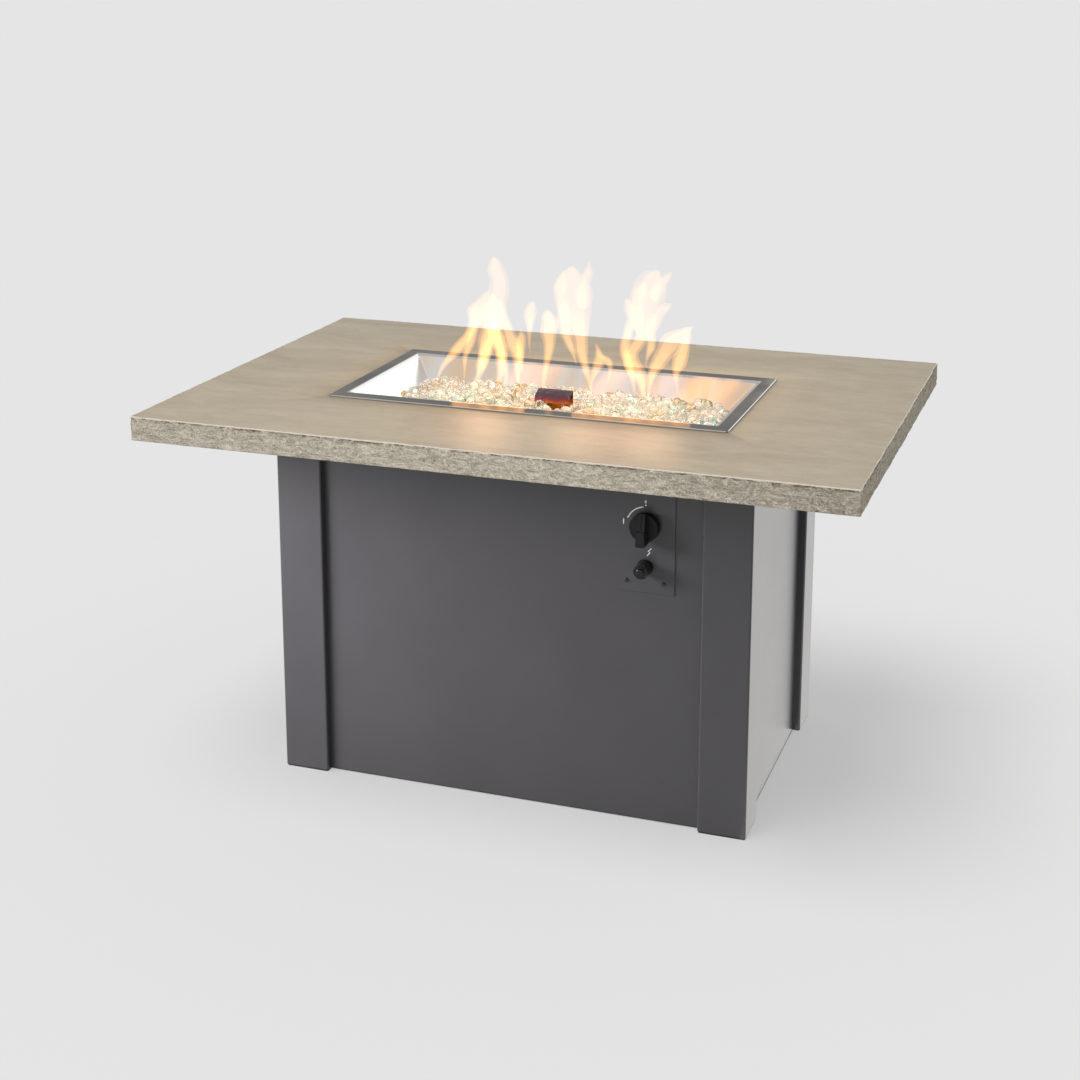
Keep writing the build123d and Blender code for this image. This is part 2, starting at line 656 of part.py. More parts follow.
# Elbow: a jet that screws up into the mixer, and a side outlet for the gas line.
elbow_z = mixer_bottom - ELBOW_DROP
with BuildPart() as inlet_elbow:
    with BuildSketch(Plane.XY.offset(elbow_z - ELBOW_R)):
        Circle(ELBOW_R)
    extrude(amount=ELBOW_DROP + ELBOW_R)
    with BuildSketch(Plane.XY.offset(mixer_bottom)):
        Circle(LINE_BORE + 1 - RUN_CLEAR)
    extrude(amount=MIXER_WALL + 6)
    with BuildSketch(Plane.YZ):
        with Locations((0, elbow_z)):
            Circle(ELBOW_R)
    extrude(amount=ELBOW_OUT)
    with BuildSketch(Plane.YZ.offset(ELBOW_OUT - 12)):
        with Locations((0, elbow_z)):
            RegularPolygon(ELBOW_R + 1.5, 6)
    extrude(amount=8)
    with BuildSketch(Plane.XY.offset(elbow_z)):
        Circle(1.2)
    extrude(amount=ELBOW_DROP + MIXER_WALL + 6, mode=Mode.SUBTRACT)
    with BuildSketch(Plane.YZ):
        with Locations((0, elbow_z)):
            Circle(LINE_BORE)
    extrude(amount=ELBOW_OUT, mode=Mode.SUBTRACT)

# Bracket on the side of the tube that holds the electrode and thermocouple.
bracket_z = pan_floor + BRACKET_LIFT
bracket_y0 = TUBE_R
with BuildPart() as sensor_bracket:
    with BuildSketch(Plane.YZ.offset(HOOD_X0)):
        with Locations((bracket_y0, bracket_z)):
            Rectangle(HOOD_BACK_Y - bracket_y0, BRACKET_T, align=(Align.MIN, Align.MAX))
            Rectangle(BRACKET_T, bracket_z - tube_z, align=(Align.MIN, Align.MAX))
    extrude(amount=HOOD_X1 - HOOD_X0)
    with BuildSketch(Plane.XY.offset(bracket_z)):
        with Locations((ELECTRODE_X, SENSOR_Y)):
            Circle(CERAMIC_R + RUN_CLEAR)
        with Locations((PROBE_X, SENSOR_Y)):
            Circle(PROBE_R + RUN_CLEAR)
    extrude(amount=-BRACKET_T, mode=Mode.SUBTRACT)

# Hood: folded sheet with a back wall, a sloping roof, a front lip and one side flap.
ridge_z = TABLE_H - HOOD_TOP_BELOW
fold_y = HOOD_BACK_Y - HOOD_RUN
lip_y = fold_y - 3
with BuildPart() as igniter_hood:
    with BuildSketch(Plane.YZ.offset(HOOD_X0)):
        with BuildLine():
            spine = Polyline(
                (HOOD_BACK_Y + HOOD_T / 2, bracket_z - BRACKET_T),
                (HOOD_BACK_Y + HOOD_T / 2, ridge_z - HOOD_T / 2),
                (fold_y, ridge_z - HOOD_FALL - HOOD_T / 2),
                (lip_y, ridge_z - HOOD_FALL - HOOD_FACE_H),
            )
            offset(spine, amount=HOOD_T / 2, kind=Kind.INTERSECTION)
        make_face()
    extrude(amount=HOOD_X1 - HOOD_X0)
    with BuildSketch(Plane.YZ.offset(HOOD_X0)):
        with BuildLine():
            Polyline(
                (HOOD_BACK_Y, bracket_z),
                (HOOD_BACK_Y, ridge_z - HOOD_T),
                (fold_y, ridge_z - HOOD_FALL - HOOD_T),
                (lip_y + 6, bracket_z + 14),
                close=True,
            )
        make_face()
    extrude(amount=HOOD_T)

# Electrode: a ceramic sleeve with a steel rod that ends under the hood.
sensor_z0 = pan_under - SENSOR_BELOW
with BuildPart() as electrode:
    with BuildSketch(Plane.XY.offset(sensor_z0)):
        with Locations((ELECTRODE_X, SENSOR_Y)):
            Circle(CERAMIC_R)
    extrude(amount=bracket_z + 8 - sensor_z0)
    with BuildSketch(Plane.XY.offset(bracket_z + 8)):
        with Locations((ELECTRODE_X, SENSOR_Y)):
            Circle(ROD_R)
    extrude(amount=8)

with BuildPart() as thermocouple:
    with BuildSketch(Plane.XY.offset(sensor_z0)):
        with Locations((PROBE_X, SENSOR_Y)):
            Circle(PROBE_R)
    extrude(amount=bracket_z + 4 - sensor_z0)
    with BuildSketch(Plane.XY.offset(bracket_z + 4)):
        with Locations((PROBE_X, SENSOR_Y)):
            Circle(PROBE_TIP_R)
    extrude(amount=12)
    chamfer(thermocouple.edges().group_by(Axis.Z)[-1], PROBE_TIP_R / 2)

# Bed of glass: fills the pan round everything that stands in it. Three rows of
# low heaps rise from a level bed and end below the top of the glass.
wall_gap = SLIDE_CLEAR
bed_depth = GEM_DEPTH - GEM_DIP
bed_top = pan_floor + bed_depth
bed_w = floor_w + 2 * PAN_RUN * bed_depth / PAN_DEPTH - 2 * wall_gap
bed_d = floor_d + 2 * PAN_RUN * bed_depth / PAN_DEPTH - 2 * wall_gap
heap_r = (HEAP_FOOT_R**2 + GEM_DIP**2) / (2 * GEM_DIP)
heap_foot_angle = degrees(asin((heap_r - GEM_DIP - HEAP_SINK) / heap_r))
heap_columns = int(bed_w // (2 * HEAP_FOOT_R))
heap_pitch = bed_w / heap_columns
heap_row_y = bed_d / 2 - HEAP_FOOT_R - (heap_pitch / 2 - HEAP_FOOT_R)
with BuildPart() as gem_bed:
    with BuildSketch(Plane.XY.offset(pan_floor)):
        RectangleRounded(floor_w - 2 * wall_gap, floor_d - 2 * wall_gap, PAN_CORNER_R)
    with BuildSketch(Plane.XY.offset(bed_top)):
        RectangleRounded(bed_w, bed_d, PAN_CORNER_R)
    loft()
    with Locations((0, 0, bed_top - HEAP_SINK)):
        with GridLocations(heap_pitch, 2 * heap_row_y, heap_columns, 2):
            Sphere(heap_r, arc_size1=heap_foot_angle, align=(Align.CENTER, Align.CENTER, Align.MIN))
        with GridLocations(heap_pitch, 0, heap_columns - 1, 1):
            Sphere(heap_r, arc_size1=heap_foot_angle, align=(Align.CENTER, Align.CENTER, Align.MIN))
    with BuildSketch(Plane.XY.offset(pan_floor)):
        with Locations((0, 0)):
            Rectangle(2 * (BAR_HALF + TUBE_R + 1), 2 * (TUBE_R + 1))
        with Locations((-BAR_HALF, 0), (BAR_HALF, 0)):
            Rectangle(2 * (TUBE_R + 1), 2 * (CROSS_HALF + 1))
        Circle(HUB_R + 1)
        with Locations((HOOD_X0 - 1, lip_y - 1)):
            Rectangle(
                HOOD_X1 - HOOD_X0 + 2, HOOD_BACK_Y + HOOD_T + 2 - lip_y, align=(Align.MIN, Align.MIN)
            )
    extrude(amount=TUBE_LIFT + TUBE_R + 1, mode=Mode.SUBTRACT)
    with BuildSketch(Plane.XY.offset(pan_floor)):
        with Locations((HOOD_X0 - 1, lip_y - 1)):
            Rectangle(
                HOOD_X1 - HOOD_X0 + 2, HOOD_BACK_Y + HOOD_T + 2 - lip_y, align=(Align.MIN, Align.MIN)
            )
    extrude(amount=GEM_DEPTH, mode=Mode.SUBTRACT)

# ================= controls =================
# Plane for turned parts on the knob's axis; local z points at the user.
knob_axis = Plane(origin=(control_x, front_y, knob_z), x_dir=(1, 0, 0), z_dir=(0, -1, 0))
with BuildPart() as control_plate:
    with BuildSketch(face):
        with Locations((control_x, (plate_z0 + plate_z1) / 2)):
            RectangleRounded(PLATE_W, plate_z1 - plate_z0, PLATE_R)
        with Locations(*screw_spots):
            Circle(PLATE_SCREW_R + RUN_CLEAR, mode=Mode.SUBTRACT)
        with Locations((control_x, knob_z)):
            Circle(STEM_R + HOLE_CLEAR, mode=Mode.SUBTRACT)
        with Locations((control_x, igniter_z)):
            Circle(BARREL_R + HOLE_CLEAR, mode=Mode.SUBTRACT)
    extrude(amount=PLATE_T)

with BuildPart() as plate_screws:
    with BuildSketch(face.offset(PLATE_T)):
        with Locations(*screw_spots):
            Circle(PLATE_SCREW_R)
    extrude(amount=-(PLATE_T + SHEET + 4))
    with BuildSketch(face.offset(PLATE_T)):
        with Locations(*screw_spots):
            Circle(PLATE_SCREW_HEAD_R)
    extrude(amount=PLATE_SCREW_HEAD_H)
    chamfer(plate_screws.edges().group_by(Axis.Y)[0], PLATE_SCREW_HEAD_H / 2)

# Valve body: a block with a bearing for the stem, a tapered chamber for the
# plug, a flare inlet below, an outlet behind and a thermocouple port.
chamber_r0 = PLUG_R0 + RUN_CLEAR
chamber_r1 = PLUG_R1 + RUN_CLEAR
chamber_length = PLUG_LENGTH + 2 * SLIDE_CLEAR
plug_mid = PLUG_START + SLIDE_CLEAR + PLUG_LENGTH * 0.7
inlet_y = front_y + plug_mid
inlet_top = knob_z - VALVE_HALF
inlet_end = inlet_top - FLARE_NECK - FLARE_LENGTH
valve_back = knob_axis.offset(-VALVE_LENGTH)
with BuildPart() as valve_body:
    with BuildSketch(knob_axis):
        RectangleRounded(2 * VALVE_HALF, 2 * VALVE_HALF, 4)
    extrude(amount=-VALVE_LENGTH)
    with BuildSketch(valve_back):
        Circle(OUTLET_R)
    extrude(amount=-OUTLET_LENGTH)
    with BuildSketch(Plane.XY.offset(inlet_top)):
        with Locations((control_x, inlet_y)):
            Circle(FLARE_R + 2)
    extrude(amount=-FLARE_NECK)
    with BuildSketch(Plane.XY.offset(inlet_top - FLARE_NECK)):
        with Locations((control_x, inlet_y)):
            Circle(FLARE_R)
    extrude(amount=-FLARE_LENGTH)
    with BuildSketch(knob_axis):
        Circle(STEM_R + RUN_CLEAR)
    extrude(amount=-PLUG_START, mode=Mode.SUBTRACT)
    with BuildSketch(knob_axis.offset(-PLUG_START)):
        Circle(chamber_r0)
    with BuildSketch(knob_axis.offset(-PLUG_START - chamber_length)):
        Circle(chamber_r1)
    loft(mode=Mode.SUBTRACT)
    with BuildSketch(valve_back):
        Circle(GAS_BORE)
    extrude(amount=VALVE_LENGTH - PLUG_START - chamber_length, mode=Mode.SUBTRACT)
    with BuildSketch(valve_back):
        Circle(GAS_BORE)
    extrude(amount=-OUTLET_LENGTH, mode=Mode.SUBTRACT)
    with BuildSketch(Plane.XY.offset(inlet_end)):
        with Locations((control_x, inlet_y)):
            Circle(GAS_BORE)
    extrude(amount=knob_z - PLUG_R1 - inlet_end, mode=Mode.SUBTRACT)

# Tapered plug: a radial gas way that opens into an axial way at the back, and
# a slot in front for the stem's tang. At rest the radial way faces -X (off).
with BuildPart() as valve_plug:
    with BuildSketch(knob_axis.offset(-PLUG_START - SLIDE_CLEAR)):
        Circle(PLUG_R0)
    with BuildSketch(knob_axis.offset(-PLUG_START - SLIDE_CLEAR - PLUG_LENGTH)):
        Circle(PLUG_R1)
    loft()
    with BuildSketch(knob_axis.offset(-PLUG_START - SLIDE_CLEAR)):
        Rectangle(TANG_T + 2 * RUN_CLEAR, TANG_W + 2 * SLIDE_CLEAR)
    extrude(amount=-PLUG_SLOT, mode=Mode.SUBTRACT)
    with BuildSketch(knob_axis.offset(-PLUG_START - SLIDE_CLEAR - PLUG_LENGTH)):
        Circle(GAS_BORE)
    extrude(amount=PLUG_LENGTH * 0.4, mode=Mode.SUBTRACT)
    with BuildSketch(Plane(origin=(control_x, inlet_y, knob_z), x_dir=(0, 1, 0), z_dir=(-1, 0, 0))):
        Circle(GAS_BORE * 0.8)
    extrude(amount=PLUG_R0 + 1, mode=Mode.SUBTRACT)

# Stem: a D-ended shaft with a flat tang that slides in the plug's slot.
skirt_back = PLATE_T + KNOB_GAP
stem_front = skirt_back + KNOB_SKIRT_H + 6
tang_depth = PLUG_SLOT - KNOB_TRAVEL - 1
with BuildPart() as valve_stem:
    with BuildSketch(knob_axis.offset(stem_front)):
        Circle(STEM_R)
    extrude(amount=-(stem_front + PLUG_START - KNOB_TRAVEL))
    with BuildSketch(knob_axis.offset(stem_front)):
        Circle(STEM_R)
        with Locations((0, -STEM_R)):
            Rectangle(2 * STEM_R, 2 * (2 * STEM_R - STEM_FLAT), mode=Mode.SUBTRACT)
    extrude(amount=-(stem_front - skirt_back), mode=Mode.SUBTRACT)
    with BuildSketch(knob_axis.offset(-PLUG_START + KNOB_TRAVEL)):
        Rectangle(TANG_T, TANG_W)
    extrude(amount=-(tang_depth + KNOB_TRAVEL))

# Knob: a round skirt and a bar grip. Its lower half is full height, and its
# upper half steps down and slopes to the pointer's tip, with a groove along it.
grip_front = KNOB_BAR_H + 1
grip_end = KNOB_BAR_L / 2 + 1
pointer_start = KNOB_BAR_H - KNOB_STEP
grip_side = Plane(origin=(control_x, plate_front - KNOB_GAP - KNOB_SKIRT_H, knob_z),
                  x_dir=(0, -1, 0), z_dir=(-1, 0, 0))
with BuildPart() as control_knob:
    with BuildSketch(knob_axis.offset(skirt_back)):
        Circle(KNOB_R)
    extrude(amount=KNOB_SKIRT_H, taper=4)
    with BuildSketch(knob_axis.offset(skirt_back + KNOB_SKIRT_H)):
        with BuildLine():
            Polyline(
                (-KNOB_BAR_W / 2, -KNOB_BAR_L / 2),
                (KNOB_BAR_W / 2, -KNOB_BAR_L / 2),
                (KNOB_TIP_W / 2, KNOB_BAR_L / 2),
                (-KNOB_TIP_W / 2, KNOB_BAR_L / 2),
                close=True,
            )
        make_face()
        fillet(vertices(), 3)
    extrude(amount=KNOB_BAR_H, taper=3)
    for depth, half_width in ((0, KNOB_BAR_W), (1, KNOB_GROOVE / 2)):
        with BuildSketch(grip_side):
            with BuildLine():
                Polyline(
                    (grip_front, 2 * depth),
                    (pointer_start - depth, 2 * depth),
                    (KNOB_TIP_H - depth, grip_end),
                    (grip_front, grip_end),
                    close=True,
                )
            make_face()
        extrude(amount=half_width, both=True, mode=Mode.SUBTRACT)
    with BuildSketch(knob_axis.offset(skirt_back)):
        Circle(STEM_R + RUN_CLEAR)
        with Locations((0, STEM_R)):
            Rectangle(3 * STEM_R, 2 * (STEM_FLAT - RUN_CLEAR), mode=Mode.SUBTRACT)
    extrude(amount=stem_front - skirt_back, mode=Mode.SUBTRACT)

# ================= igniter =================
igniter_axis = Plane(origin=(control_x, plate_front, igniter_z), x_dir=(1, 0, 0), z_dir=(0, -1, 0))
with BuildPart() as igniter_barrel:
    with BuildSketch(igniter_axis):
        Circle(BARREL_FLANGE_R)
    extrude(amount=BARREL_FLANGE_T)
    with BuildSketch(igniter_axis):
        Circle(BARREL_R)
    extrude(amount=BARREL_FLANGE_T + BARREL_NOSE)
    with BuildSketch(igniter_axis):
        Circle(BARREL_R)
    extrude(amount=-BARREL_BACK)
    with BuildSketch(igniter_axis.offset(BARREL_FLANGE_T + BARREL_NOSE)):
        Circle(BARREL_BORE)
    extrude(amount=-(BARREL_FLANGE_T + BARREL_NOSE + BARREL_BACK - BARREL_END), mode=Mode.SUBTRACT)

with BuildPart() as igniter_nut:
    with BuildSketch(igniter_axis.offset(-PLATE_T)):
        RegularPolygon(IGNITER_NUT_AF / 2, 6, major_radius=False)
        Circle(BARREL_R + RUN_CLEAR, mode=Mode.SUBTRACT)
    extrude(amount=-IGNITER_NUT_H)

battery_back = BARREL_BACK - BARREL_END - CONTACT_T
with BuildPart() as igniter_battery:
    with BuildSketch(igniter_axis.offset(-battery_back)):
        Circle(BATTERY_R)
    extrude(amount=BATTERY_LENGTH - 1.5)
    with BuildSketch(igniter_axis.offset(-battery_back)):
        Circle(BATTERY_R / 3)
    extrude(amount=BATTERY_LENGTH)

# Contact plate between the battery and the barrel's closed end.
with BuildPart() as battery_contacts:
    with BuildSketch(igniter_axis.offset(-battery_back)):
        Circle(BATTERY_R - 1)
    extrude(amount=-CONTACT_T)

cap_back = BARREL_FLANGE_T + SLIDE_CLEAR
cap_front = cap_back + CAP_LENGTH
button_back = cap_front - CAP_ROOF - BUTTON_FLANGE_T
with BuildPart() as igniter_cap:
    with BuildSketch(igniter_axis.offset(cap_back)):
        Circle(CAP_R)
    extrude(amount=CAP_LENGTH - CAP_STEP)
    with BuildSketch(igniter_axis.offset(cap_back)):
        Circle(CAP_R - CAP_STEP)
    extrude(amount=CAP_LENGTH)
    chamfer(igniter_cap.edges().group_by(Axis.Y)[0], CAP_STEP / 2)
    with BuildSketch(igniter_axis.offset(cap_back)):
        Circle(BARREL_R + SLIDE_CLEAR)
    extrude(amount=BARREL_NOSE + 1, mode=Mode.SUBTRACT)
    with BuildSketch(igniter_axis.offset(cap_back)):
        Circle(CAP_CHAMBER_R)
    extrude(amount=CAP_LENGTH - CAP_ROOF, mode=Mode.SUBTRACT)
    with BuildSketch(igniter_axis.offset(cap_back)):
        Circle(BUTTON_R + RUN_CLEAR)
    extrude(amount=CAP_LENGTH, mode=Mode.SUBTRACT)

with BuildPart() as igniter_button:
    with BuildSketch(igniter_axis.offset(button_back)):
        Circle(BUTTON_FLANGE_R)
    extrude(amount=BUTTON_FLANGE_T)
    with BuildSketch(igniter_axis.offset(button_back)):
        Circle(BUTTON_R)
    extrude(amount=BUTTON_FLANGE_T + CAP_ROOF + BUTTON_PROUD)
    fillet(igniter_button.edges().group_by(Axis.Y)[0], BUTTON_PROUD * 0.7)

# ================= gas line and leads =================


def make_lead(points, radius):
    """Round cord along straight runs joined by arcs as large as the runs allow."""
    path_points = [Vector(*p) for p in points]
    runs = [b - a for a, b in zip(path_points, path_points[1:])]
    radii = []
    for before, after in zip(runs, runs[1:]):
        turn = before.get_angle(after)
        shorter = min(before.length, after.length)
        radii.append(0.45 * shorter / tan(radians(turn / 2)))
    print("bend radii", [round(r, 1) for r in radii])
    with BuildPart() as lead:
        with BuildLine():
            course = FilletPolyline(*path_points, radius=radii)
        with BuildSketch(Plane(origin=path_points[0], z_dir=runs[0])):
            Circle(radius)
        sweep(path=course)
    print("volume ratio", round(lead.part.volume / (pi * radius**2 * course.length), 4))
    return lead


valve_back_y = front_y + VALVE_LENGTH
outlet_y = valve_back_y + OUTLET_LENGTH
gas_line = make_lead(
    [
        (ELBOW_OUT, 0, elbow_z),
        (ELBOW_OUT + 88, 0, elbow_z),
        (control_x, outlet_y + 92, knob_z),
        (control_x, outlet_y, knob_z),
    ],
    LINE_R,
)

# The thermocouple's lead screws into the back of the valve.
tc_x = control_x + TC_PORT_X
tc_z = knob_z + TC_PORT_Z
with BuildPart() as thermocouple_nut:
    with BuildSketch(valve_back):
        with Locations((TC_PORT_X, TC_PORT_Z)):
            RegularPolygon(TC_NUT_R, 6)
    extrude(amount=-TC_NUT_LENGTH)

thermocouple_lead = make_lead(
    [
        (tc_x, valve_back_y + TC_NUT_LENGTH, tc_z),
        (tc_x, valve_back_y + TC_NUT_LENGTH + 52, tc_z),
        (tc_x - 44, valve_back_y + TC_NUT_LENGTH + 98, tc_z + 8),
        (tc_x - 104, valve_back_y + TC_NUT_LENGTH + 124, tc_z + 15),
        (PROBE_X + 46, SENSOR_Y - 14, sensor_z0 - 26),
        (PROBE_X + 10, SENSOR_Y, sensor_z0 - 17),
        (PROBE_X, SENSOR_Y, sensor_z0 - 7),
        (PROBE_X, SENSOR_Y, sensor_z0),
    ],
    PROBE_R - 1,
)

barrel_end_y = plate_front + BARREL_BACK
igniter_lead = make_lead(
    [
        (control_x, barrel_end_y, igniter_z),
        (control_x, barrel_end_y + 62, igniter_z),
        (control_x - 46, barrel_end_y + 130, igniter_z + 10),
        (control_x - 118, barrel_end_y + 202, igniter_z + 26),
        (26, 46, sensor_z0 - 60),
        (ELECTRODE_X + 5, SENSOR_Y + 18, sensor_z0 - 34),
        (ELECTRODE_X, SENSOR_Y, sensor_z0 - 14),
        (ELECTRODE_X, SENSOR_Y, sensor_z0),
    ],
    LEAD_R,
)

# ================= labels and files =================
pieces = {
    "table_top": table_top,
    "top_inserts": top_inserts,
    "top_bolts": top_bolts,
    **legs,
    "foot_glides": foot_glides,
    "leg_bolts": leg_bolts,
    "front_panel": front_panel,
    "left_panel": left_panel,
    "right_panel": right_panel,
    "rear_frame": rear_frame,
    **rails,
    "bottom_shelf": bottom_shelf,
    "access_door": access_door,
    "hinge_frame_leaves": hinge_frame_leaves,
    "hinge_door_leaves": hinge_door_leaves,
    "hinge_pins": hinge_pins,
    "door_pull": door_pull,
    "catch_magnet": catch_magnet,
    "catch_strike": catch_strike,
    "burner_pan": burner_pan,
    "burner_tube": burner_tube,
    "burner_locknut": burner_locknut,
    "air_mixer": air_mixer,
    "inlet_elbow": inlet_elbow,
    "sensor_bracket": sensor_bracket,
    "igniter_hood": igniter_hood,
    "electrode": electrode,
    "thermocouple": thermocouple,
    "gem_bed": gem_bed,
    "control_plate": control_plate,
    "plate_screws": plate_screws,
    "valve_body": valve_body,
    "valve_plug": valve_plug,
    "valve_stem": valve_stem,
    "control_knob": control_knob,
    "igniter_barrel": igniter_barrel,
    "igniter_nut": igniter_nut,
    "igniter_battery": igniter_battery,
    "battery_contacts": battery_contacts,
    "igniter_cap": igniter_cap,
    "igniter_button": igniter_button,
    "gas_line": gas_line,
    "thermocouple_nut": thermocouple_nut,
    "thermocouple_lead": thermocouple_lead,
    "igniter_lead": igniter_lead,
}
for name, piece in pieces.items():
    piece.part.label = name
    export_step(piece.part, f"parts/{name}.step")
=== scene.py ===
from math import cos, pi, radians, sin

import bpy
import numpy as np
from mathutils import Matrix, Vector


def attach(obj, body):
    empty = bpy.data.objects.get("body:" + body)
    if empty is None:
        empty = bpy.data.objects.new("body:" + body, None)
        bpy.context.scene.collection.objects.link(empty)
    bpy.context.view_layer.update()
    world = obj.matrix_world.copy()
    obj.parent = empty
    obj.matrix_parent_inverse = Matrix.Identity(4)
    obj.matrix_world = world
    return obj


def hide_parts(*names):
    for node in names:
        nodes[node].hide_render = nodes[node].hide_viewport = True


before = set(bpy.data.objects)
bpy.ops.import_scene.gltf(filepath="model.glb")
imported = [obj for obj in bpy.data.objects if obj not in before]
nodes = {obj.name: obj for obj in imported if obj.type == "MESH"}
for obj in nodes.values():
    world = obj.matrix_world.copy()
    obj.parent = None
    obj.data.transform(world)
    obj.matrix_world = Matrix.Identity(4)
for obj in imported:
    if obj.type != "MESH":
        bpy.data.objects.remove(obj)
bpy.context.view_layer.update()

# ---------------------------------------------------------------- studio
# A pale seamless floor under an even sky and one very soft sun. The other lamps
# each reach one group of pieces: the base, the slab or the pan.
scene = bpy.context.scene
scene.view_settings.view_transform = "Standard"
WHITE = (1.0, 1.0, 1.0, 1.0)
BACKDROP = (0.783, 0.783, 0.783, 1.0)
SKY_LIGHT = 0.44


def add(name, data):
    """New object in the scene that holds a mesh, a lamp, a camera or a text."""
    made = bpy.data.objects.new(name, data)
    scene.collection.objects.link(made)
    return made


look_at = Vector((-0.0282, 0.0, 0.6871))
turn, lift, far_off = radians(19.4), radians(12.9), 2.9501
backward = Vector((sin(turn) * cos(lift), -cos(turn) * cos(lift), sin(lift)))
camera_data = bpy.data.cameras.new("camera")
camera_data.lens = 61.13
camera_data.shift_y = -0.185
camera_data.clip_end = 200.0
camera = add("camera", camera_data)
camera.location = look_at + backward * far_off
camera.rotation_mode = "QUATERNION"
camera.rotation_quaternion = (-backward).to_track_quat("-Z", "Y")
scene.camera = camera


def feed(node, **sockets):
    """Sets or links inputs of a shader node by name, or by number as i0, i1 and so on."""
    for key, value in sockets.items():
        numbered = key[0] == "i" and key[1:].isdigit()
        socket = node.inputs[int(key[1:]) if numbered else key.replace("_", " ")]
        if isinstance(value, bpy.types.NodeSocket):
            node.id_data.links.new(value, socket)
        else:
            socket.default_value = value


def wire(tree, kind, settings=None, **sockets):
    """Adds a shader node, sets its properties and feeds its inputs."""
    made = tree.nodes.new(kind)
    for key, value in (settings or {}).items():
        setattr(made, key, value)
    feed(made, **sockets)
    return made


def sums(tree, operation, *values):
    """Result of one Math node over numbers and sockets."""
    return wire(tree, "ShaderNodeMath", {"operation": operation},
                **{f"i{place}": value for place, value in enumerate(values)}).outputs[0]


def camera_like(tree):
    """1 for camera, glossy and transmission rays, which see the backdrop's own colour."""
    ray = wire(tree, "ShaderNodeLightPath")
    direct = sums(tree, "MAXIMUM", ray.outputs["Is Camera Ray"], ray.outputs["Is Glossy Ray"])
    return sums(tree, "MAXIMUM", direct, ray.outputs["Is Transmission Ray"])


def coordinates(tree):
    """Place on the object, in metres."""
    return wire(tree, "ShaderNodeTexCoord").outputs["Object"]


def bare(owner):
    """Node tree of a world or a material, emptied."""
    owner.use_nodes = True
    owner.node_tree.nodes.clear()
    return owner.node_tree


scene.world = bpy.data.worlds.new("studio")
sky = bare(scene.world)
lit = wire(sky, "ShaderNodeBackground", Color=WHITE, Strength=SKY_LIGHT)
seen = wire(sky, "ShaderNodeBackground", Color=BACKDROP, Strength=1.0)
both = wire(sky, "ShaderNodeMixShader", i0=camera_like(sky), i1=lit.outputs[0], i2=seen.outputs[0])
wire(sky, "ShaderNodeOutputWorld", Surface=both.outputs[0])


def mesh_piece(name, points, faces, smooth=False):
    """Object with a new mesh of points and faces."""
    mesh = bpy.data.meshes.new(name)
    mesh.from_pydata(points, [], faces)
    mesh.polygons.foreach_set("use_smooth", np.full(len(mesh.polygons), smooth))
    mesh.update()
    return add(name, mesh)


def level_sheet(name, left, right, front, back, z):
    """Rectangle that lies level at a height."""
    return mesh_piece(name, [(left, front, z), (right, front, z), (right, back, z), (left, back, z)], [(0, 1, 2, 3)])


# The paper floor gives half of its tone itself where it is looked at, so that it
# stays even with a soft shadow, and sends less light up than it shows. Inside
# the closed base it gives none, so the vents and the tank's hole look dark.
FLOOR_REACH = 90
INSIDE_BASE = {"X": 0.37, "Y": 0.225}
FLOOR_SENDS = (0.42, 0.42, 0.42, 1.0)
floor = level_sheet("floor", -FLOOR_REACH, FLOOR_REACH, -FLOOR_REACH, FLOOR_REACH, 0)
floor_paper = bpy.data.materials.new("floor_paper")
paper = bare(floor_paper)
watched = camera_like(paper)
at = wire(paper, "ShaderNodeSeparateXYZ", Vector=coordinates(paper))
enclosed = sums(paper, "MULTIPLY", *(sums(paper, "LESS_THAN", sums(paper, "ABSOLUTE", at.outputs[axis]), half)
                                     for axis, half in INSIDE_BASE.items()))
own_share = sums(paper, "MULTIPLY", sums(paper, "SUBTRACT", watched, enclosed), 0.5)
unseen = wire(paper, "ShaderNodeBsdfDiffuse", Color=FLOOR_SENDS)
matt = wire(paper, "ShaderNodeBsdfDiffuse", Color=BACKDROP)
even = wire(paper, "ShaderNodeEmission", Color=BACKDROP, Strength=1.0)
shown = wire(paper, "ShaderNodeMixShader", i0=own_share, i1=matt.outputs[0], i2=even.outputs[0])
mixed = wire(paper, "ShaderNodeMixShader", i0=watched, i1=unseen.outputs[0], i2=shown.outputs[0])
wire(paper, "ShaderNodeOutputMaterial", Surface=mixed.outputs[0])
floor.data.materials.append(floor_paper)


def lamp(kind, name, spot, aim, power, size=None, lights_only=None, colour=(1.0, 1.0, 1.0), mirrored=True):
    """Lamp at a spot, turned to a point, that lights all or one collection and may be
    kept out of mirror images."""
    data = bpy.data.lights.new(name, kind)
    data.energy, data.color = power, colour
    if size:
        data.shape = "RECTANGLE"
        data.size, data.size_y = size
    light = add(name, data)
    light.location = spot
    light.rotation_mode = "QUATERNION"
    light.rotation_quaternion = (Vector(spot) - Vector(aim)).to_track_quat("Z", "Y")
    light.visible_camera = False
    light.visible_glossy = mirrored
    light.light_linking.receiver_collection = lights_only
    return light


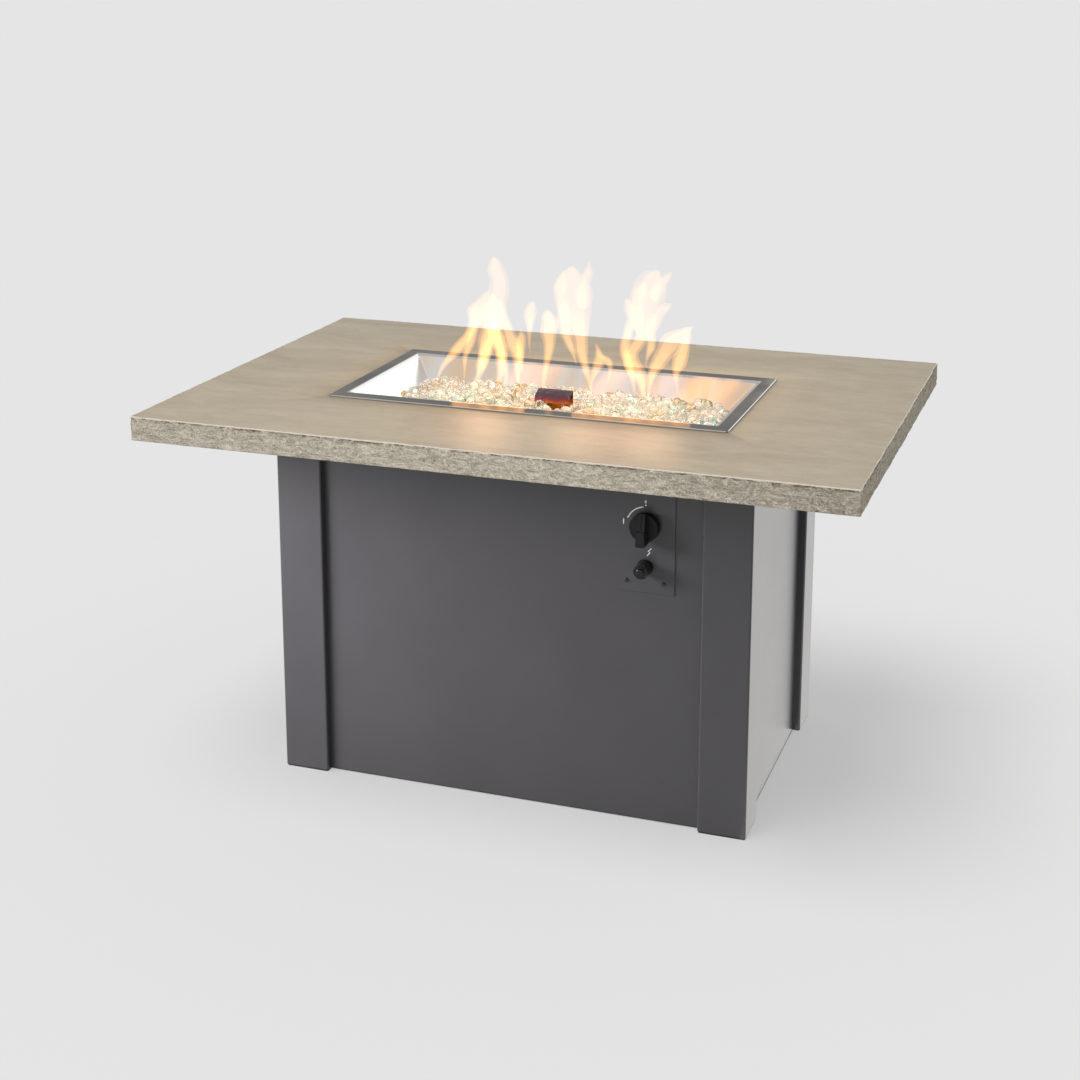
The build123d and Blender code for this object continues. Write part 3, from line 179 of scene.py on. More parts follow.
# The key lights the base from the front left and the rim grazes it from behind.
# Two lamps face the slab's front edge and right end, and a card fills the pan.
base_parts, slab_parts, pan_parts = (bpy.data.collections.new(name)
                                     for name in ("base_parts", "slab_parts", "pan_parts"))
for name, node in nodes.items():
    if name not in ("table_top", "gem_bed", "burner_pan"):
        base_parts.objects.link(node)
pan_parts.objects.link(nodes["burner_pan"])
overhead = lamp("SUN", "overhead", (-0.17, -0.26, 0.95), (0, 0, 0), 1.86, mirrored=False)
overhead.data.angle = radians(40)
lamp("AREA", "key", (-0.95, -0.75, 0.84), (-0.2, -0.2, 0.3), 33.0, (0.5, 0.5), base_parts)
lamp("AREA", "rim", (2.2, 3.2, 0.40), (0.4, 0.0, 0.30), 90.0, (2.0, 0.8), base_parts, mirrored=False)
lamp("AREA", "edge_light", (-0.15, -2.5, 1.6), (-0.05, -0.38, 0.6), 34.0, (1.4, 0.6), slab_parts, mirrored=False)
lamp("AREA", "end_light", (2.4, -0.5, 0.50), (0.56, 0.0, 0.59), 13.5, (0.8, 0.3), slab_parts, mirrored=False)
lamp("AREA", "pan_card", (0.55, 2.76, 1.52), (-0.25, 0.0, 0.6), 6.6, (1.8, 1.2), pan_parts)

# A white card lies on the floor where the right side mirrors it; only glossy
# rays meet it.
CARD_WHITE = (1.0, 0.99, 0.965, 1.0)
side_card = level_sheet("side_card", 0.372, 2.4, -0.40, 2.8, 0.0005)
side_card.visible_camera = side_card.visible_diffuse = False
side_card.visible_transmission = side_card.visible_shadow = False
card_white = bpy.data.materials.new("card_white")
card_glow = wire(bare(card_white), "ShaderNodeEmission", Color=CARD_WHITE, Strength=1.6)
wire(card_white.node_tree, "ShaderNodeOutputMaterial", Surface=card_glow.outputs[0])
side_card.data.materials.append(card_white)

# ---------------------------------------------------------------- base
# Four box-section legs of folded sheet steel, with plastic glides below. Legs,
# panels, rails, shelf and door are powder coated dark grey with fine orange
# peel, and zinc-plated hexagon bolts hold them together from inside.


def blank(name):
    """New material, its tree and its Principled shader."""
    material = bpy.data.materials.new(name)
    material.use_nodes = True
    return material, material.node_tree, material.node_tree.nodes["Principled BSDF"]


def stretched(tree, place, scale):
    """Coordinates multiplied along each axis."""
    return wire(tree, "ShaderNodeMapping", Vector=place, Scale=scale).outputs[0]


def noise(tree, place, scale, detail, roughness=0.5, distortion=0.0, kind="FBM"):
    """Value of a noise texture."""
    return wire(tree, "ShaderNodeTexNoise", {"noise_type": kind}, Vector=place, Scale=scale, Detail=detail,
                Roughness=roughness, Distortion=distortion).outputs["Fac"]


def remap(tree, value, low, high, to_low=0.0, to_high=1.0):
    """Value moved from one range to another and held inside it."""
    return wire(tree, "ShaderNodeMapRange", Value=value, From_Min=low, From_Max=high, To_Min=to_low,
                To_Max=to_high).outputs[0]


def ramp(tree, value, *stops):
    """Colour of a ramp through stops, each a position and a colour."""
    made = wire(tree, "ShaderNodeValToRGB", Fac=value)
    ends = made.color_ramp.elements
    for end, (position, colour) in ((ends[0], stops[0]), (ends[1], stops[-1])):
        end.position, end.color = position, (*colour, 1.0)
    for position, colour in stops[1:-1]:
        ends.new(position).color = (*colour, 1.0)
    return made.outputs["Color"]


MIX_SOCKETS = {"FLOAT": (2, 3, 0), "VECTOR": (4, 5, 1), "RGBA": (6, 7, 2)}


def blend(tree, kind, share, first, second):
    """First value, colour or vector where the share is 0, the second where it is 1."""
    low, high, result = MIX_SOCKETS[kind]
    return wire(tree, "ShaderNodeMix", {"data_type": kind}, i0=share,
                **{f"i{low}": first, f"i{high}": second}).outputs[result]


def relief(tree, heights, depth, strength=1.0):
    """Normal bent by a height value, as deep as given in metres."""
    return wire(tree, "ShaderNodeBump", Height=heights, Strength=strength, Distance=depth).outputs[0]


def grained(name, dark, light, rough, metallic=0.0, patch=14.0, grain=900.0, depth=0.00008,
            stretch=(1.0, 1.0, 1.0), specular=0.5):
    """Finish with cloudy colour between two tones, roughness between two values,
    and a fine grain in relief that is stretched along one axis where it is brushed."""
    material, tree, shader = blank(name)
    drawn = stretched(tree, coordinates(tree), stretch)
    cloud = noise(tree, drawn, patch, 5.0, 0.6)
    fine = noise(tree, drawn, grain, 3.0, 0.55)
    feed(shader, Base_Color=ramp(tree, cloud, (0.3, dark), (0.7, light)),
         Roughness=remap(tree, cloud, 0.0, 1.0, *rough), Normal=relief(tree, fine, depth),
         Metallic=metallic, Specular_IOR_Level=specular)
    return material


def dress(material, *names):
    """Puts a finish on CAD nodes."""
    for name in names:
        for holder in nodes[name].material_slots:
            holder.material = material


powder_coat = grained("powder_coat", (0.053, 0.050, 0.055), (0.060, 0.057, 0.062), (0.27, 0.33),
                      patch=7.0, grain=650.0, depth=0.00004)
glide_black = grained("glide_black", (0.02, 0.02, 0.02), (0.03, 0.03, 0.03), (0.5, 0.65))
zinc_plate = grained("zinc_plate", (0.50, 0.50, 0.48), (0.66, 0.66, 0.62), (0.28, 0.42), metallic=1.0)
dress(powder_coat, "leg_front_left", "leg_front_right", "leg_rear_left", "leg_rear_right",
      "front_panel", "left_panel", "right_panel", "rear_frame", "top_rail_front", "top_rail_rear",
      "top_rail_left", "top_rail_right", "bottom_shelf")
dress(glide_black, "foot_glides")
dress(zinc_plate, "leg_bolts", "top_bolts")

# ---------------------------------------------------------------- rear door
# Folded door with vent slots, on two black steel butt hinges with zinc pins.
# A moulded pull opens it, and a magnet in a black housing holds its strike.
moulded_black = grained("moulded_black", (0.007, 0.007, 0.008), (0.012, 0.012, 0.013), (0.40, 0.52),
                        patch=60.0, grain=1600.0, depth=0.00004, specular=0.22)
black_oxide = grained("black_oxide", (0.020, 0.020, 0.022), (0.045, 0.044, 0.044), (0.35, 0.5),
                      metallic=0.6)
dress(powder_coat, "access_door")
dress(black_oxide, "hinge_frame_leaves", "hinge_door_leaves")
dress(zinc_plate, "hinge_pins", "catch_strike")
dress(moulded_black, "door_pull", "catch_magnet")

# ---------------------------------------------------------------- table top
# One slab of cast, glass-fibre-reinforced concrete: a trowelled, sealed top and
# split-face sides with crumbled arrises. Brass inserts are cast in from below.
TOP_W, TOP_D, TOP_Z0, TOP_Z1, TOP_R = 1.118, 0.762, 0.572, 0.610, 0.005
HOLE_W, HOLE_D, HOLE_R = 0.618, 0.302, 0.006
POINTS = 440, 300, 6  # on a long straight, a short straight and a corner
ARRIS, LOWER_ARRIS = 0.0024, 0.0016
SIDE_ROWS = 17
ROUGH_REACH = 0.007


def random_field(points, wave, seed):
    """Smooth random value from -1 to 1 at each point: random numbers on the corners
    of a cubic lattice one wave wide, joined along each axis by a smooth step."""
    cell = points / wave
    low = np.floor(cell).astype(np.int64)
    part = cell - low
    part = part**3 * (part * (part * 6 - 15) + 10)
    total = np.zeros(points.shape[:-1])
    for corner in np.ndindex(2, 2, 2):
        at = low + np.array(corner)
        mixed = (at[..., 0] * 73856093) ^ (at[..., 1] * 19349663) ^ (at[..., 2] * 83492791) ^ (seed * 97561)
        mixed = (mixed ^ (mixed >> 13)) * 1274126177
        value = ((mixed ^ (mixed >> 16)) & 0xFFFF) / 32767.5 - 1.0
        total += value * np.prod(np.where(np.array(corner) == 1, part, 1 - part), axis=-1)
    return total


def rounded_outline(width, depth, radius, along, across, corner):
    """Points and outward normals anticlockwise round a rounded rectangle: a quarter
    circle at each corner, and evenly spaced points on the straights between them."""
    spots, normals = [], []
    for index, (sx, sy) in enumerate(((1, -1), (1, 1), (-1, 1), (-1, -1))):
        angle = np.linspace(-pi / 2, 0, corner) + index * pi / 2
        normal = np.stack([np.cos(angle), np.sin(angle)], axis=1)
        arc = np.array([sx * (width / 2 - radius), sy * (depth / 2 - radius)]) + radius * normal
        if spots:
            count = across if index in (1, 3) else along
            share = np.linspace(0, 1, count + 2)[1:-1, None]
            spots.append(spots[-1][-1] * (1 - share) + arc[0] * share)
            normals.append(np.repeat(normals[-1][-1:], count, axis=0))
        spots.append(arc)
        normals.append(normal)
    share = np.linspace(0, 1, along + 2)[1:-1, None]
    spots.append(spots[-1][-1] * (1 - share) + spots[0][0] * share)
    normals.append(np.repeat(normals[-1][-1:], along, axis=0))
    return np.concatenate(spots), np.concatenate(normals)


def grid_piece(name, points, wrap_u=True, wrap_v=True, smooth=True):
    """Mesh object of quads over a grid of points, closed round either way on request."""
    rows, columns = points.shape[:2]
    index = np.arange(rows * columns).reshape(rows, columns)
    u = index if wrap_u else index[:-1]
    nu = np.roll(index, -1, axis=0) if wrap_u else index[1:]
    v = slice(None) if wrap_v else slice(0, -1)
    faces = np.stack([u[:, v], nu[:, v], np.roll(nu, -1, axis=1)[:, v], np.roll(u, -1, axis=1)[:, v]], axis=-1)
    return mesh_piece(name, points.reshape(-1, 3).tolist(), faces.reshape(-1, 4).tolist(), smooth)


outer, outer_normal = rounded_outline(TOP_W, TOP_D, TOP_R, *POINTS)
inner, _ = rounded_outline(HOLE_W, HOLE_D, HOLE_R, *POINTS)

# The section runs over the top, round the arris, down the side, under and back.
bend = np.linspace(0, pi / 2, 6)[1:-1]
inset = np.concatenate([[0.030, 0.012, 0.006, 0.0036], ARRIS * (1 - np.sin(bend)), np.zeros(SIDE_ROWS),
                        LOWER_ARRIS * (1 - np.cos(bend[::2])), [0.0022, 0.006, 0.030]])
level = np.concatenate([np.full(4, TOP_Z1), TOP_Z1 - ARRIS * (1 - np.cos(bend)),
                        np.linspace(TOP_Z1 - ARRIS, TOP_Z0 + LOWER_ARRIS, SIDE_ROWS),
                        TOP_Z0 + LOWER_ARRIS * (1 - np.sin(bend[::2])), np.full(3, TOP_Z0)])
rim_part = np.stack([rounded_outline(TOP_W - 2 * far_in, TOP_D - 2 * far_in, max(TOP_R - far_in, 0.0005),
                                     *POINTS)[0] for far_in in inset], axis=1)
rim_part = np.concatenate([rim_part, np.broadcast_to(level[None, :, None], (*rim_part.shape[:2], 1))], axis=2)
spread = np.array([0.0, 0.3, 0.62])[None, :, None]
flat = inner[:, None, :] * (1 - spread) + outer[:, None, :] * spread
over = np.concatenate([flat, np.full((*flat.shape[:2], 1), TOP_Z1)], axis=2)
under = np.concatenate([flat[:, ::-1], np.full((*flat.shape[:2], 1), TOP_Z0)], axis=2)
slab = np.concatenate([over, rim_part, under], axis=1)

# Only the outer rim is rough: it is pushed inwards by broad waves, by torn
# ridges and by crumbs, most of all beside the two arrises.
height = slab[..., 2]
edge_inset = np.concatenate([np.full(3, 1.0), inset, np.full(3, 1.0)])[None, :]
rough_zone = np.clip(1 - edge_inset / ROUGH_REACH, 0, 1) ** 0.6
near_arris = np.clip(1 - np.minimum(TOP_Z1 - height, height - TOP_Z0) / ROUGH_REACH, 0, 1)
warp = np.stack([random_field(slab, 0.030, seed) for seed in (1, 2, 3)], axis=-1) * 0.010
squeezed = (slab + warp) * np.array([1.0, 1.0, 2.2])
waves = random_field(slab, 0.085, 4) * 0.0011 + random_field(slab, 0.028, 5) * 0.0006
torn = (0.5 - np.abs(random_field(squeezed, 0.017, 6))) * 0.0011
crumbs = random_field(slab, 0.0062, 7) * 0.00035 + random_field(slab, 0.0034, 8) * 0.00022
chips = np.clip(random_field(slab, 0.0125, 9) - 0.25, 0, 1) * 0.0022 * near_arris
calm = 1 - 0.6 * near_arris
push = np.maximum((0.0012 + (0.0007 + waves + torn + crumbs) * calm + chips) * rough_zone, 0.0)
slab[..., :2] -= outer_normal[:, None, :] * push[..., None]
sunk = np.clip(random_field(slab, 0.009, 10) - 0.1, 0, 1) * 0.0012
slab[..., 2] -= (edge_inset < 0.0035) * (height > TOP_Z1 - 0.0025) * sunk

# The face counts as trowelled, the sides as split, and the arris between gets a pale band, partly wear and partly a
# painted highlight.
table_top = grid_piece("cast_top", slab[:, ::-1])
split = np.where((height > TOP_Z1 - 1e-6) & (edge_inset > 0.0030), rough_zone * 0.3,
                 np.where(height > TOP_Z1 - 0.0020, 0.46, rough_zone))
attribute = table_top.data.attributes.new("split", "FLOAT", "POINT")
attribute.data.foreach_set("value", split[:, ::-1].reshape(-1).astype(np.float32))

concrete, tree, shader = blank("cast_concrete")
place = coordinates(tree)
drawn = stretched(tree, place, (1.0, 2.4, 1.0))
swirl = stretched(tree, place, (1.0, 1.0, 2.4))
broad = noise(tree, drawn, 5.0, 6.0, 0.62, 0.6)
patches = noise(tree, drawn, 26.0, 5.0, 0.6, 0.4)
speckle = noise(tree, place, 420.0, 3.0, 0.6)
torn_noise = noise(tree, swirl, 34.0, 10.0, 0.72, 2.8)
veins = noise(tree, swirl, 95.0, 6.0, 0.6, 1.4, "RIDGED_MULTIFRACTAL")
pits = noise(tree, place, 420.0, 4.0, 0.7, 0.8)
cloudy = sums(tree, "MULTIPLY_ADD", speckle, 0.55, sums(tree, "MULTIPLY_ADD", patches, 0.55, broad))
trowelled = ramp(tree, remap(tree, cloudy, 0.75, 1.34), (0.0, (0.295, 0.249, 0.182)), (1.0, (0.405, 0.354, 0.268)))

# The split stone's tone follows its relief, darker in its pits and hollows and paler on its ridges, partly its own
# colour and partly painted shade and highlight.
# It has pale veins, a painted shade that darkens it towards its right end, and a painted shadow in broken gaps just
# under the arris.
axes = wire(tree, "ShaderNodeSeparateXYZ", Vector=place)
# Painted shade: the split stone darkens towards its right end.
right_end_shade = remap(tree, axes.outputs["X"], 0.20, 0.54)
# Painted shadow: a broken dark band just under the top arris.
lip_shadow_band = remap(tree, axes.outputs["Z"], 0.6046, 0.6066)
painted_lip_shadow = sums(tree, "MULTIPLY", lip_shadow_band, remap(tree, torn_noise, 0.52, 0.42))
broken = torn_noise
for layer, share in ((pits, 0.7), (veins, -0.16), (right_end_shade, -0.10), (painted_lip_shadow, -0.22)):
    broken = sums(tree, "MULTIPLY_ADD", layer, share, broken)
# The tone follows the relief: dark hollows and pale ridges are partly painted shade and highlight.
split_tones = ramp(tree, remap(tree, broken, 0.48, 1.02), (0.0, (0.100, 0.081, 0.058)),
                   (0.30, (0.270, 0.241, 0.192)), (0.55, (0.430, 0.386, 0.310)), (1.0, (0.740, 0.675, 0.555)))
where_split = wire(tree, "ShaderNodeAttribute", {"attribute_name": "split"})
ragged = sums(tree, "MULTIPLY_ADD", pits, 0.5, where_split.outputs["Fac"])
is_split = remap(tree, ragged, 0.78, 0.95)
# Pale band on the arris: partly wear, partly a painted highlight where light catches the rounded edge.
worn_edge_and_highlight = blend(tree, "RGBA", remap(tree, ragged, 0.60, 0.70), trowelled, (0.50, 0.455, 0.38, 1.0))
sealed = remap(tree, patches, 0.0, 1.0, 0.34, 0.46)
top_relief = relief(tree, sums(tree, "MULTIPLY_ADD", speckle, 0.25, patches), 0.0006, 0.35)
feed(shader, Base_Color=blend(tree, "RGBA", is_split, worn_edge_and_highlight, split_tones),
     Roughness=blend(tree, "FLOAT", is_split, sealed, 0.85),
     Normal=blend(tree, "VECTOR", is_split, top_relief, relief(tree, broken, 0.0034)), Specular_IOR_Level=0.05)
table_top.data.materials.append(concrete)
slab_parts.objects.link(table_top)
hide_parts("table_top")
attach(table_top, "base")
brass = grained("machined_brass", (0.62, 0.43, 0.18), (0.78, 0.58, 0.28), (0.24, 0.38), metallic=1.0)
dress(brass, "top_inserts")

# ---------------------------------------------------------------- burner pan
# Drop-in pan pressed from thin stainless sheet. Its sloping walls are polished
# like a mirror and slightly wavy, and straw-coloured behind the flames: partly heat
# tint, partly a painted reflection of the flames. The hemmed flange is dark and glossy.
PAN_OPENING, FLANGE_RIM = (0.3015, 0.1425), (0.325, 0.170)
pan_steel, tree, shader = blank("pan_steel")
place = coordinates(tree)
dents = noise(tree, place, 9.0, 1.0)
strokes = noise(tree, stretched(tree, place, (30.0, 900.0, 900.0)), 1.0, 3.0)
axes = wire(tree, "ShaderNodeSeparateXYZ", Vector=place)
is_flange = remap(tree, axes.outputs["Z"], 0.6090, 0.6096)
sheen_bands = noise(tree, stretched(tree, place, (5.0, 9.0, 1.0)), 1.0, 2.0, distortion=0.5)
flange_tone = ramp(tree, sheen_bands, (0.35, (0.022, 0.021, 0.020)), (0.65, (0.12, 0.118, 0.112)))
heat_and_glow_bands = noise(tree, stretched(tree, place, (17.0, 1.5, 2.0)), 1.0, 2.0, distortion=0.3)
facing = wire(tree, "ShaderNodeSeparateXYZ", Vector=wire(tree, "ShaderNodeNewGeometry").outputs["True Normal"])
rear_wall = remap(tree, facing.outputs["Y"], -0.3, -0.6)
# Straw tint on the rear wall: partly heat tint, partly a painted reflection of the flames mirrored there.
straw_and_flame_glow = sums(tree, "MULTIPLY", remap(tree, heat_and_glow_bands, 0.42, 0.62), rear_wall)
wall_tone = blend(tree, "RGBA", straw_and_flame_glow, (0.80, 0.785, 0.76, 1.0), (0.84, 0.64, 0.46, 1.0))

# A painted highlight, a bright line, runs along the bend at the opening and along the outer hem.
across = [sums(tree, "ABSOLUTE", axes.outputs[axis]) for axis in "XY"]
from_opening, from_rim = (
    sums(tree, "MAXIMUM", *(sums(tree, "SUBTRACT", far, edge) for far, edge in zip(across, edges)))
    for edges in (PAN_OPENING, FLANGE_RIM))
bend_highlights = sums(tree, "MAXIMUM", remap(tree, from_opening, 0.0032, 0.0020), remap(tree, from_rim, -0.0022, -0.0012))
flange_and_painted_highlight = blend(tree, "RGBA", bend_highlights, flange_tone, (0.55, 0.54, 0.52, 1.0))
feed(shader, Base_Color=blend(tree, "RGBA", is_flange, wall_tone, flange_and_painted_highlight),
     Roughness=blend(tree, "FLOAT", is_flange, 0.18, 0.11),
     Specular_Tint=blend(tree, "RGBA", is_flange, WHITE, (0.78, 0.77, 0.74, 1.0)),
     Normal=relief(tree, sums(tree, "MULTIPLY_ADD", strokes, 0.012, dents), 0.0022), Metallic=1.0)
dress(pan_steel, "burner_pan")

# ---------------------------------------------------------------- burner
# H-shaped stainless burner with a threaded nipple, a locknut below the pan, a
# brass air mixer and the elbow that carries the gas jet.
stainless = grained("brushed_stainless", (0.52, 0.51, 0.49), (0.66, 0.65, 0.62), (0.26, 0.40), metallic=1.0,
                    stretch=(0.1, 1.0, 1.0), grain=1200.0)
dress(stainless, "burner_tube", "burner_locknut", "gas_line")
dress(brass, "air_mixer", "inlet_elbow", "thermocouple_nut", "valve_plug")

# ---------------------------------------------------------------- igniter hood
# Folded stainless hood over the electrode and thermocouple, burnt by the flame
# to dark plum and red-brown with amber along its lower folds.
burnt, tree, shader = blank("burnt_steel")
place = coordinates(tree)
axes = wire(tree, "ShaderNodeSeparateXYZ", Vector=place)
patch = noise(tree, place, 70.0, 4.0, distortion=0.8)
rise = remap(tree, axes.outputs["Z"], 0.578, 0.601)
heat = sums(tree, "MULTIPLY_ADD", patch, 0.7, sums(tree, "SUBTRACT", rise, 0.35))
burnt_tone = ramp(tree, heat, (0.0, (0.62, 0.26, 0.04)), (0.28, (0.34, 0.06, 0.02)), (0.5, (0.14, 0.035, 0.05)),
                  (0.72, (0.09, 0.05, 0.065)), (1.0, (0.17, 0.12, 0.13)))
feed(shader, Base_Color=burnt_tone, Roughness=remap(tree, patch, 0.0, 1.0, 0.16, 0.34), Metallic=0.9)
dress(burnt, "igniter_hood", "sensor_bracket")
glazed = grained("glazed_ceramic", (0.74, 0.73, 0.69), (0.84, 0.83, 0.79), (0.12, 0.2), depth=0.00001)
copper = grained("drawn_copper", (0.50, 0.24, 0.13), (0.70, 0.38, 0.22), (0.25, 0.4), metallic=1.0)
dress(glazed, "electrode")
dress(copper, "thermocouple", "thermocouple_lead")

# ---------------------------------------------------------------- fire glass
# Loose rounded pebbles of clear glass, 13 to 18 mm, heaped round the hood. A
# rough bed of the same glass lies below the two layers of single pebbles.
rng = np.random.default_rng(7)
HOOD = (-0.041, 0.020, 0.0045, 0.0300)  # its left, right, front and back
PAN_FLOOR, PAN_FLOOR_HALF = 0.5375, (0.2355, 0.0765)
WALL_LEAN = 0.066 / 0.075
BED_LEVEL = 0.5772
HEAP_HIGH, HEAP_REACH = 0.0095, 0.040
HEAP_PITCH, HEAP_ROW = 0.07625, 0.0698
GEM_RADIUS = (0.0078, 0.0106)
GEM_PITCH, GEM_STRAY, GEM_SINK = 0.0164, 0.0033, 0.0028
LAYER_DEPTHS = (0.0066, 0.0185)


def bowl_half(z, clear):
    """Half length and half width of the pan's inside at a height, less a margin."""
    lean = (z - PAN_FLOOR) * WALL_LEAN
    return PAN_FLOOR_HALF[0] + lean - clear, PAN_FLOOR_HALF[1] + lean - clear


def heap(x, y):
    """Height of the glass: a level bed with three rows of low heaps, each a parabola
    round its middle, and small random swells. It falls to the front and the right."""
    spot = np.stack([x, y, np.zeros_like(x)], axis=-1)
    outer_row = np.abs(y) > HEAP_ROW / 2
    column = np.where(outer_row, np.round(x / HEAP_PITCH), np.round(x / HEAP_PITCH - 0.5) + 0.5)
    from_middle = np.hypot(x - column * HEAP_PITCH, y - np.where(outer_row, np.sign(y) * HEAP_ROW, 0.0))
    mound = HEAP_HIGH * np.clip(1 - (from_middle / HEAP_REACH) ** 2, 0, 1)
    slope = 0.0045 * np.clip(y / 0.11, -1, 1) - 0.003 * np.clip((x - 0.12) / 0.15, 0, 1)
    return BED_LEVEL + mound + slope + 0.0025 * random_field(spot, 0.030, 21)


def near_hood(x, y, margin):
    """True where a place is over the hood's footprint or within a margin of it."""
    return ((x > HOOD[0] - margin) & (x < HOOD[1] + margin)
            & (y > HOOD[2] - margin) & (y < HOOD[3] + margin))


centres, sizes = [], []
for layer, depth in enumerate(LAYER_DEPTHS):
    gx, gy = np.meshgrid(np.arange(-0.29, 0.29, GEM_PITCH), np.arange(-0.125, 0.125, GEM_PITCH * 0.866))
    gx = gx + (np.arange(gx.shape[0]) % 2)[:, None] * GEM_PITCH / 2 + layer * GEM_PITCH / 3
    x = (gx + rng.uniform(-GEM_STRAY, GEM_STRAY, gx.shape)).ravel()
    y = (gy + rng.uniform(-GEM_STRAY, GEM_STRAY, gy.shape)).ravel()
    z = heap(x, y) - depth + rng.uniform(-GEM_SINK, GEM_SINK, x.shape)
    radius = rng.uniform(*GEM_RADIUS, x.shape)
    half_x, half_y = bowl_half(z, radius * 1.15)
    keep = (np.abs(x) < half_x) & (np.abs(y) < half_y) & ~near_hood(x, y, radius)
    centres.append(np.stack([x, y, z], axis=1)[keep])
    sizes.append(radius[keep])
centres, sizes = np.concatenate(centres), np.concatenate(sizes)

# One pebble is a sphere on a coarse grid of angles, squeezed and lumped: its
# radius grows and shrinks with three slow waves that differ from gem to gem.
ROUND, RISE = 10, 6
theta = np.linspace(0, 2 * pi, ROUND, endpoint=False)
phi = np.linspace(0, pi, RISE + 1)[1:-1]
ring = np.stack([np.outer(np.sin(phi), np.cos(theta)), np.outer(np.sin(phi), np.sin(theta)),
                 np.outer(np.cos(phi), np.ones(ROUND))], axis=-1).reshape(-1, 3)
ball = np.concatenate([[[0, 0, 1.0]], ring, [[0, 0, -1.0]]])
grid = (np.arange((RISE - 1) * ROUND).reshape(RISE - 1, ROUND)) + 1
east = np.roll(grid, -1, axis=1)
quads = np.stack([grid[:-1], grid[1:], east[1:], east[:-1]], axis=-1).reshape(-1, 4)
caps = np.concatenate([np.stack([np.zeros(ROUND, int), grid[0], east[0]], axis=1),
                       np.stack([np.full(ROUND, len(ball) - 1), east[-1], grid[-1]], axis=1)])
count = len(centres)
spin = rng.normal(size=(count, 4))
spin /= np.linalg.norm(spin, axis=1, keepdims=True)
a, b, c, d = spin.T
turns = np.stack([1 - 2 * (c * c + d * d), 2 * (b * c - a * d), 2 * (b * d + a * c),
                  2 * (b * c + a * d), 1 - 2 * (b * b + d * d), 2 * (c * d - a * b),
                  2 * (b * d - a * c), 2 * (c * d + a * b), 1 - 2 * (b * b + c * c)], axis=1).reshape(-1, 3, 3)
squeeze = rng.uniform((0.92, 0.80, 0.68), (1.08, 1.0, 0.92), (count, 3))
lump = 1 + 0.07 * np.sin(ball @ rng.normal(size=(3, count)) * 2.2 + rng.uniform(0, 6, count)).T
shapes = ball[None] * squeeze[:, None, :] * lump[..., None] * sizes[:, None, None]
shapes = np.einsum("nij,nkj->nki", turns, shapes) + centres[:, None, :]
step = (np.arange(count) * len(ball))[:, None, None]
faces = (quads[None] + step).reshape(-1, 4).tolist() + (caps[None] + step).reshape(-1, 3).tolist()
fire_glass = mesh_piece("fire_glass", shapes.reshape(-1, 3).tolist(), faces, smooth=True)
tint = fire_glass.data.attributes.new("tint", "FLOAT", "POINT")
tint.data.foreach_set("value", np.repeat(rng.uniform(0, 1, count), len(ball)).astype(np.float32))

# Most gems are clear, a few are faintly green and a few are amber. Lamps shine
# straight through them, so that the bed below isn't dark.
clear_glass, tree, shader = blank("clear_glass")
which = wire(tree, "ShaderNodeAttribute", {"attribute_name": "tint"})
tints = ramp(tree, which.outputs["Fac"], (0.0, (0.72, 0.90, 0.84)), (0.14, (0.86, 0.95, 0.91)),
             (0.25, (0.98, 0.98, 0.97)), (0.93, (0.98, 0.95, 0.91)), (1.0, (0.86, 0.66, 0.42)))
feed(shader, Base_Color=tints, Roughness=0.02, IOR=1.5, Transmission_Weight=0.92)
ray = wire(tree, "ShaderNodeLightPath")
through = wire(tree, "ShaderNodeBsdfTransparent", Color=(0.92, 0.92, 0.90, 1.0))
either = wire(tree, "ShaderNodeMixShader", i0=ray.outputs["Is Shadow Ray"], i1=shader.outputs[0],
              i2=through.outputs[0])
feed(tree.nodes["Material Output"], Surface=either.outputs[0])
fire_glass.data.materials.append(clear_glass)
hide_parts("gem_bed")
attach(fire_glass, "base")

# The bed: a closed lid-and-floor grid whose lid follows the heap 13 mm down and
# ends half a millimetre from the sloping walls.
BED_BOTTOM, BED_MIDDLE, LID_RANGE, UNDER_HOOD = 0.5480, 0.562, (0.5520, 0.5725), 0.5600
BED_DEPTH, BED_GAP = 0.0130, 0.0005
bu, bv = np.meshgrid(np.linspace(-1, 1, 200), np.linspace(-1, 1, 90), indexing="ij")
half_x, half_y = bowl_half(BED_MIDDLE, BED_GAP)
bx, by = bu * half_x, bv * half_y
lid_z = heap(bx, by) - BED_DEPTH + 0.0022 * random_field(np.stack([bx, by, 0 * bx], axis=-1), 0.011, 23)
lid_z = np.where(near_hood(bx, by, 0.003), UNDER_HOOD, np.clip(lid_z, *LID_RANGE))
half_x, half_y = bowl_half(lid_z, BED_GAP)
lid = np.stack([bu * half_x, bv * half_y, lid_z], axis=-1)
low_x, low_y = bowl_half(BED_BOTTOM, BED_GAP)
underside = np.stack([bu * low_x, bv * low_y, np.full_like(bu, BED_BOTTOM)], axis=-1)
glass_bed = grid_piece("glass_bed", np.concatenate([lid, underside[:, ::-1]], axis=1), wrap_u=False)
frosted = grained("packed_glass", (0.20, 0.17, 0.12), (0.88, 0.86, 0.80), (0.05, 0.25), patch=130.0, grain=170.0,
                  depth=0.004, specular=0.8)
glass_bed.data.materials.append(frosted)
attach(glass_bed, "base")

# ---------------------------------------------------------------- control plate
# Powder-coated plate on four black screws. White printed marks round the knob:
# an arc with a dot, the plain numbers 0 and 1 at its ends, and a spark below.
dress(powder_coat, "control_plate")
dress(black_oxide, "plate_screws")
PRINT_Y, DIAL_X, DIAL_Z = -0.22962, 0.218, 0.474
ARC_RADII, DOT_RADIUS, DOT_UP = (0.0284, 0.0300), 0.0011, 0.0322
white_print = grained("white_print", (0.86, 0.86, 0.85), (0.92, 0.92, 0.91), (0.5, 0.6), depth=0.00001)


